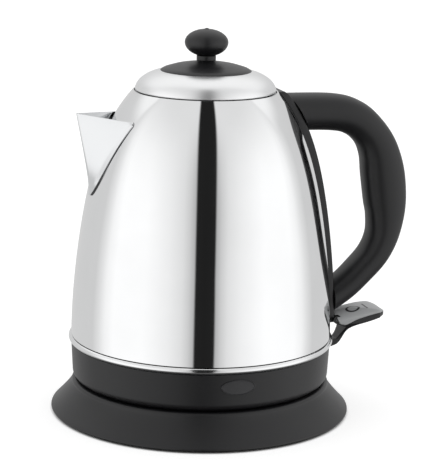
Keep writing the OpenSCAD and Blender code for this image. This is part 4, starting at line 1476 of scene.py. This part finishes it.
    def build(self) -> None:
        """Builds and dresses the lever's body and its cap."""
        body = self.whole()
        cap = bpy.data.objects.new("lever_cap", body.data.copy())
        bpy.context.scene.collection.objects.link(cap)
        hub_half = self.knuckle_end + self.gap
        Bench.combined(body, "DIFFERENCE", self.above(0.0), self.axle("hub", self.hub_clear, hub_half))
        Bench.combined(body, "UNION", *self.knuckles(0.0))
        Bench.cut(body, self.axle("bore", self.bore_r, self.width))
        Bench.combined(cap, "INTERSECT", self.above(self.fit))
        Bench.cut(cap, self.axle("hub", self.hub_clear, hub_half), *self.knuckles(self.fit))
        Bench.dressed(body, SATIN_BLACK, Body.LEVER, Slot.BLACK, "switch_lever")
        Bench.dressed(cap, LEVER_SILVER, Body.LEVER, Slot.SILVER, "lever_insert")


@dataclass
class PowerBase:
    """The flared base moulding on its rubber ring."""

    base_r: float = 88.1
    neck_r: float = 76.0
    height: float = 19.2
    wall: float = 2.2
    lip_r: float = 1.1
    lip_turn: float = 42.0
    foot_lift: float = 0.6
    edge_r: float = 2.2
    hub_r: float = 16.5
    flare_power: float = 1.25
    gland: tuple[float, float] = (4.8, 8.3)
    foot: Point = (65.6, 71.6)

    def flare(self, steps: int, grow: float, low: float) -> list[Point]:
        """Gives the flare's outline from the top edge down.

        Args:
            steps: number of steps.
            grow: distance added to the radius.
            low: lowest height that is kept.

        Returns:
            Radius and height of each point.
        """
        turn = math.radians(self.lip_turn)
        top, foot = self.height - self.edge_r, self.foot_lift + self.lip_r * (1 + math.sin(turn))
        low_r = self.base_r - self.lip_r * (1 - math.cos(turn))
        made = []
        for i in range(steps + 1):
            s = i / steps
            z = top - (top - foot) * s
            if z > low:
                made.append((self.neck_r + (low_r - self.neck_r) * s ** self.flare_power + grow, z))
        return made

    def shell(self) -> bpy.types.Object:
        """Turns the base moulding and opens it for the cord's gland."""
        lip_z = self.foot_lift + self.lip_r
        plate_r = self.base_r - 2 * self.lip_r - 1.5
        top = self.height
        made = Bench.turned("base_flare", [
            (self.hub_r + 0.3, top - self.wall), (self.hub_r + 0.3, top - 0.3), (self.hub_r + 0.6, top),
            *arc(self.neck_r - self.edge_r, top - self.edge_r, self.edge_r, 90, 4, 12), *self.flare(40, 0.0, 0.0),
            *arc(self.base_r - self.lip_r, lip_z, self.lip_r, self.lip_turn - 3, -90, 12),
            (plate_r + 0.3, self.foot_lift), (plate_r + 0.3, lip_z),
            *reversed(self.flare(40, -self.wall, lip_z + 1)),
            (self.neck_r - self.wall - self.edge_r, top - self.wall)], 256)
        r, z = self.gland
        return Bench.cut(made, Bench.rod("gland_way", (0, 66, z), (0, 92, z), r + 0.05))

    def foot_ring(self) -> bpy.types.Object:
        """Turns the rubber ring with three fine grooves on its underside."""
        low, high = self.foot
        outline = [(low + 0.05, 1.6), (low + 0.05, 0.4), (low + 0.35, 0.0)]
        for i in range(3):
            mid = low + (high - low) * (i + 1) / 4
            outline += [(mid - 0.35, 0.0), (mid - 0.2, 0.35), (mid + 0.2, 0.35), (mid + 0.35, 0.0)]
        outline += [(high - 0.35, 0.0), (high - 0.05, 0.4), (high - 0.05, 1.6)]
        return Bench.turned("rubber_foot", outline, 192, 25)

    def build(self) -> None:
        """Builds and dresses the base."""
        Bench.dressed(self.shell(), SATIN_BLACK, Body.BASE, Slot.BLACK, "base_shell")
        Bench.dressed(self.foot_ring(), FOOT_RUBBER, Body.BASE, Slot.RUBBER, "foot_ring")


@dataclass
class ScrewSet:
    """Cross-head screws on a ring, heads down, made from one screw."""

    name: str
    node: str
    body: Body
    ring_r: float
    start: float
    count: int
    head_r: float
    head_h: float
    shank_r: float
    seat_z: float
    tip_z: float

    def one(self) -> bpy.types.Object:
        """Turns one screw with a rolled thread and cuts the cross in its domed head."""
        head, low = self.head_r, self.seat_z - self.head_h
        outline = [(0.0, low), (head * 0.55, low + 0.02), (head * 0.9, low + 0.22 * self.head_h),
                   (head, low + 0.55 * self.head_h), (head, self.seat_z)]
        z = self.seat_z
        while z < self.tip_z - 1.6:
            outline += [(self.shank_r * 0.80, z + 0.1), (self.shank_r, z + 0.45), (self.shank_r * 0.80, z + 0.8)]
            z += 0.9
        outline += [(self.shank_r * 0.6, self.tip_z - 0.5), (0.0, self.tip_z)]
        made = Bench.turned(self.name, outline, 32, 35)
        slot = head * 0.30
        arms = [Bench.block("arm", (-a, -b, low - 1), (a, b, low + self.head_h * 0.5))
                for a, b in ((head * 0.7, slot / 2), (slot / 2, head * 0.7))]
        return Bench.cut(made, *arms)

    def build(self) -> None:
        """Sets the screw round its ring and dresses the set."""
        made = self.one()
        recipe = Recipe(self.name + "_ring")
        g = recipe.graph
        count = recipe.given("Screws", self.count)
        ring = recipe.given("Ring Radius", self.ring_r * MM)
        start = recipe.given("Start Angle", math.radians(self.start))
        turn = g.out(g.node("GeometryNodeInputIndex")) * math.tau / count + start
        points = g.node("GeometryNodePoints", inputs={
            "Count": count, "Position": g.vector(ring * g.math("COSINE", turn), ring * g.math("SINE", turn), 0.0)})
        turned = g.node("FunctionNodeEulerToRotation", inputs={0: g.vector(0.0, 0.0, turn * 1.7)})
        placed = g.node("GeometryNodeInstanceOnPoints", inputs={
            "Points": points.outputs[0], "Instance": recipe.geometry, "Rotation": turned.outputs[0]})
        recipe.run(made, placed.outputs[0], SCREW_STEEL)
        Bench.dressed(made, SCREW_STEEL, self.body, Slot.FASTENER, self.node)


@dataclass
class Lid:
    """The domed lid with its black cap, neck and knob."""

    lid_r: float = 40.9
    lid_z: float = 187.5
    edge: float = 1.3
    dome_h: float = 12.2
    sheet: float = 0.8
    cap_r: float = 26.3
    cap_h: float = 5.3
    neck_r: float = 5.5
    neck_h: float = 3.1
    knob_r: float = 12.55
    knob_h: float = 15.0
    pip_h: float = 0.5
    bore: float = 2.0

    @property
    def dome_z(self) -> float:
        """Height where the dome starts to curve."""
        return self.lid_z + self.edge

    @property
    def flat_r(self) -> float:
        """Radius inside which the dome is flat."""
        return self.lid_r - 20.9

    def dome_line(self, out: float, high: float, end_r: float, steps: int = 40) -> list[Point]:
        """Gives the dome's outline from its edge inwards.

        Args:
            out: radius at the edge.
            high: height of the dome.
            end_r: radius where the line ends.
            steps: number of steps.

        Returns:
            Radius and height of each point.
        """
        end = math.acos(min(max((end_r - self.flat_r) / (out - self.flat_r), 0.0), 1.0))
        return [(self.flat_r + (out - self.flat_r) * math.cos(end * i / steps),
                 self.dome_z + high * math.sin(end * i / steps)) for i in range(steps + 1)]

    def dome(self) -> bpy.types.Object:
        """Turns the steel dome."""
        top = self.dome_z + self.dome_h
        skirt, curl = self.lid_r - 1.2, self.dome_z + 0.7
        return Bench.turned("dome", [
            (skirt, self.lid_z), (skirt, self.dome_z - 0.05), (self.lid_r - 0.25, self.dome_z + 0.35),
            *[p for p in self.dome_line(self.lid_r, self.dome_h, 0) if p[1] > curl],
            (self.bore, top), (self.bore, top - self.sheet),
            *reversed([p for p in self.dome_line(self.lid_r - self.sheet, self.dome_h - self.sheet, 0) if p[1] > curl]),
            (skirt - self.sheet, curl - 0.1), (skirt - self.sheet, self.lid_z)], 256)

    def joint(self) -> bpy.types.Object:
        """Turns a dark ring under the dome's edge, a painted shade for the shadowed gap between the lid and the rim."""
        r, low, high = self.lid_r - 1.15, self.lid_z + 0.1, self.dome_z + 0.1
        return Bench.turned("lid_shade_ring", [(r - 0.3, low), (r, low), (r, high), (r - 0.3, high)], 192)

    def cap(self) -> bpy.types.Object:
        """Turns the black cap that sweeps up to the neck."""
        low, top = self.dome_z + self.dome_h, self.dome_z + self.dome_h + self.cap_h
        rim = (self.cap_r - self.flat_r) / (self.lid_r - self.flat_r)
        seat = self.dome_z + self.dome_h * math.sqrt(1 - rim ** 2) + 0.05
        under = [(r, z + 0.02) for r, z in reversed(self.dome_line(self.lid_r, self.dome_h, 0)) if r < self.cap_r - 0.4]
        sweep = smooth_line([(self.cap_r - 0.2, 0.045), (self.cap_r * 0.95, 0.17), (self.cap_r * 0.89, 0.285),
                             (self.cap_r * 0.76, 0.465), (self.cap_r * 0.64, 0.61), (self.cap_r * 0.49, 0.73),
                             (self.cap_r * 0.40, 0.79), (self.neck_r + 2.2, 0.855), (self.neck_r + 0.7, 0.92),
                             (self.neck_r, 1.0)], 6)
        return Bench.turned("cap_sweep", [
            (self.bore, low), *under, (self.cap_r, seat), (self.cap_r - 0.05, seat + 0.1),
            *[(r, seat + (top - seat) * min(h, 1.0)) for r, h in sweep], (self.bore, top)], 192)

    def neck(self) -> bpy.types.Object:
        """Turns the band round the neck, with softened edges."""
        low = self.dome_z + self.dome_h + self.cap_h
        r, high = self.neck_r + 0.1, low + self.neck_h
        return Bench.turned("neck_collar", [
            (self.bore, low + 0.02), (r - 0.3, low + 0.02), (r, low + 0.35), (r, high - 0.35), (r - 0.3, high - 0.02),
            (self.bore, high - 0.02)], 96)

    def knob(self) -> bpy.types.Object:
        """Turns the knob, a flattened ball with a small pip on top."""
        low = self.dome_z + self.dome_h + self.cap_h + self.neck_h
        mid = low + self.knob_h * 0.49
        top = self.knob_h - (mid - low)
        deep = (mid - low) / math.sqrt(1 - (self.neck_r / self.knob_r) ** 2)
        start = -math.degrees(math.acos(self.neck_r / self.knob_r))
        line = [(self.knob_r * c, mid + deep * s) for c, s in arc(0, 0, 1, start, 0, 28)]
        line += [(self.knob_r * c, mid + top * s) for c, s in arc(0, 0, 1, 0, 84, 28)[1:]]
        peak = low + self.knob_h
        return Bench.turned("knob_ball", [
            (0.0, low + 9), (self.bore, low + 9), (self.bore, low), *line,
            (1.1, peak + self.pip_h * 0.4), (0.6, peak + self.pip_h * 0.9), (0.0, peak + self.pip_h)], 128, 40)

    def build(self) -> None:
        """Builds and dresses the lid."""
        Bench.dressed(self.dome(), LID_STEEL_LIT, Body.LID, Slot.POLISHED, "lid_dome")
        # The dark ring is painted shade, put where the gap under the dome's edge lies in shadow.
        Bench.dressed(self.joint(), DARK_PLASTIC, Body.LID, Slot.DARK)
        Bench.dressed(self.cap(), KNOB_BLACK, Body.LID, Slot.BLACK, "lid_cap")
        Bench.dressed(self.neck(), DARK_PLASTIC, Body.LID, Slot.DARK, "neck_band")
        Bench.dressed(self.knob(), KNOB_BLACK, Body.LID, Slot.BLACK, "lid_knob")


@dataclass
class CarriedNodes:
    """Finishes of the CAD nodes that are shown as they are."""

    finishes: dict[str, Finish] = field(default_factory=lambda: {
        "base_plate": SATIN_BLACK, "base_hub": DARK_PLASTIC, "base_contacts": BRASS,
        "cord_gland": DARK_PLASTIC, "cord_clamp": CONTROL_RESIN, "clamp_screws": SCREW_STEEL,
        "kettle_connector": DARK_PLASTIC, "connector_rings": BRASS, "connector_pin": BRASS,
        "vessel_floor": INNER_STEEL, "diffuser_plate": CAST_PLATE, "heating_element": HEATER_SHEATH,
        "element_terminals": BRASS, "thermostat_body": CONTROL_RESIN, "bimetal_discs": INNER_STEEL,
        "thermostat_screws": SCREW_STEEL, "floor_studs": SCREW_STEEL, "handle_screws": SCREW_STEEL,
        "grip_screw": SCREW_STEEL, "steam_seal": FOOT_RUBBER, "lever_pin": PIN_STEEL,
        "trip_rod": CONTROL_RESIN,
        "lid_liner": INNER_STEEL, "lid_screw": SCREW_STEEL})

    def build(self) -> None:
        """Puts each finish on its node."""
        for name, finish in self.finishes.items():
            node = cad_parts[name]
            for place in node.material_slots:
                place.link = "OBJECT"
                place.material = finish.material()
            log.info("%s: %s", name, finish.name)


# ---------------------------------------------------------------- studio


@dataclass
class Studio:
    """A pale floor, a soft light tent with one dark gap, and the camera."""

    camera_at: Spot = (-0.3101, -1.0470, 0.3475)
    azimuth: float = -16.5
    yaw: float = 0.62
    pitch: float = 12.39
    roll: float = 1.30
    lens: float = 154.0
    gap_shift: float = 3.0
    panels: tuple[tuple[float, float], ...] = (
        (0, 0.016), (8.2, 0.018), (9.6, 0.52), (14, 0.70), (20, 0.86), (32, 1.0), (45, 1.10), (55, 1.16),
        (86, 1.16), (96, 1.05), (104, 0.86), (113, 0.70), (180, 0.68))
    ceiling: float = 1.04
    plain: float = 0.84
    plain_from: float = 8.0
    shade: float = 0.10
    gap_spread: float = 0.42
    strength: float = 1.2
    floor_half: float = 4000.0
    floor_z: float = -0.2
    floor_grey: float = 0.62
    floor_glow: float = 0.60
    shade_disc_edge: tuple[float, float] = (0.0860, 0.0895)

    def camera(self) -> None:
        """Places the camera."""
        p, r, w = math.radians(self.pitch), math.radians(self.roll), math.radians(self.yaw)
        ahead = Vector((math.sin(w) * math.cos(p), math.cos(w) * math.cos(p), -math.sin(p)))
        level = Vector((math.cos(w), -math.sin(w), 0))
        above = Vector((math.sin(w) * math.sin(p), math.cos(w) * math.sin(p), math.cos(p)))
        right = level * math.cos(r) + above * math.sin(r)
        up = above * math.cos(r) - level * math.sin(r)
        turn = Matrix.Rotation(math.radians(self.azimuth), 3, "Z")
        columns = [turn @ v for v in (right, up, -ahead)]
        data = bpy.data.cameras.new("camera")
        data.sensor_fit = "HORIZONTAL"
        data.sensor_width = 36.0
        data.lens = self.lens
        data.clip_start = 0.01
        made = bpy.data.objects.new("camera", data)
        made.matrix_world = Matrix.Translation(self.camera_at) @ Matrix(columns).transposed().to_4x4()
        bpy.context.scene.collection.objects.link(made)
        bpy.context.scene.camera = made

    def grey(self, bright: float) -> Colour:
        """Gives the grey that shines as brightly as asked at the tent's strength."""
        return (bright / self.strength,) * 3

    def world(self) -> None:
        """Wires the light tent: two bright panels with a dark gap between them, and a pale ceiling."""
        made = bpy.data.worlds.new("light_tent")
        made.use_nodes = True
        made.node_tree.nodes.clear()
        bpy.context.scene.world = made
        g = Graph(made.node_tree)
        x, y, z = g.xyz(g.node("ShaderNodeTexCoord").outputs["Generated"])
        a = math.radians(self.azimuth)
        front = x * math.sin(a) - y * math.cos(a)
        side = x * math.cos(a) + y * math.sin(a)
        front = front + g.math("MAXIMUM", z, 0.0) * self.gap_spread * g.smooth(front, -0.3, 0.3)
        angle = g.math("ARCTAN2", side, front) * math.degrees(1)
        off = abs(angle - self.gap_shift) / 180
        lift = g.math("ARCSINE", z) * math.degrees(1)
        stops = [(d / 180, self.grey(v)) for d, v in self.panels]
        panels = g.node("ShaderNodeValToRGB", {"stops": stops}, {0: off})
        plain_wall = g.mix(g.smooth(off, self.plain_from / 180, (self.plain_from + 3) / 180),
                           self.grey(self.panels[0][1]), self.grey(self.plain))
        walls = g.mix(g.smooth(lift, 8.0, 62.0), panels.outputs[0], plain_wall)
        back = g.smooth(front, 0.1, -0.3)
        high = g.smooth(lift + back * 50.0, 72.0, 88.0)
        roofed = g.mix(high, walls, self.grey(self.ceiling))
        low = g.smooth(lift, -48.0, -18.0)
        tent = g.mix(low, self.grey(self.shade), roofed)
        studio = g.node("ShaderNodeBackground", inputs={"Color": tent, "Strength": self.strength})
        plain = g.node("ShaderNodeBackground", inputs={"Color": (1.0, 1.0, 1.0, 1.0), "Strength": 1.0})
        path = g.node("ShaderNodeLightPath")
        seen = g.math("MAXIMUM", g.out(path, "Is Camera Ray"), g.out(path, "Is Transmission Ray"))
        both = g.node("ShaderNodeMixShader", inputs={0: seen, 1: studio.outputs[0], 2: plain.outputs[0]})
        g.node("ShaderNodeOutputWorld", inputs={"Surface": both.outputs[0]})

    def floor(self) -> None:
        """Lays the pale floor, which keeps the kettle's shadow."""
        corners = [(x * self.floor_half, y * self.floor_half, self.floor_z)
                   for x, y in ((-1, -1), (1, -1), (1, 1), (-1, 1))]
        made = Bench.piece("floor", corners, [(0, 1, 2, 3)])
        paint = bpy.data.materials.new("pale_floor")
        paint.use_nodes = True
        paint.node_tree.nodes.clear()
        g = Graph(paint.node_tree)
        path = g.node("ShaderNodeLightPath")
        white = g.node("ShaderNodeBsdfDiffuse", inputs={"Color": (*(self.floor_grey,) * 3, 1.0)})
        x, y, _ = g.xyz(g.node("ShaderNodeTexCoord").outputs["Object"])
        # The glow is left off under the base and fades in at its rim, so the floor there is darker: painted shadow laid
        # over the real occlusion.
        lift = g.smooth(g.math("SQRT", x * x + y * y), *self.shade_disc_edge)
        glow = g.node("ShaderNodeEmission", inputs={
            "Color": g.mix(lift, (0.0, 0.0, 0.0), (1.0, 1.0, 1.0)), "Strength": self.floor_glow})
        lit = g.node("ShaderNodeAddShader", inputs={0: white.outputs[0], 1: glow.outputs[0]})
        clear = g.node("ShaderNodeBsdfTransparent")
        shown = g.node("ShaderNodeMixShader", inputs={
            0: g.out(path, "Is Camera Ray"), 1: white.outputs[0], 2: lit.outputs[0]})
        through = g.node("ShaderNodeMixShader", inputs={
            0: g.out(path, "Is Glossy Ray"), 1: shown.outputs[0], 2: clear.outputs[0]})
        g.node("ShaderNodeOutputMaterial", inputs={"Surface": through.outputs[0]})
        made.data.materials.append(paint)

    def build(self) -> None:
        """Builds the studio."""
        self.camera()
        self.world()
        self.floor()
        bpy.context.scene.view_settings.view_transform = "Standard"


def main() -> None:
    """Builds the kettle's sub-assemblies in order."""
    logging.basicConfig(level=logging.INFO, format="%(name)s: %(message)s", stream=sys.stdout)
    Studio().build()
    assemblies: list[Any] = [
        PowerBase(),
        ScrewSet("base_screw_set", "base_screws", Body.BASE, 55.6, 60.0, 3, 2.8, 1.4, 1.5, 2.0, 11.6),
        ScrewSet("housing_screw_set", "housing_screws", Body.JUG, 65.0, 60.0, 3, 3.4, 1.2, 1.75, 19.7, 45.5),
        JugWall(), JugFoot(), Spout(), Handle(), Lever(), Lid(), CarriedNodes()]
    for assembly in assemblies:
        assembly.build()


if __name__ == "__main__":
    main()
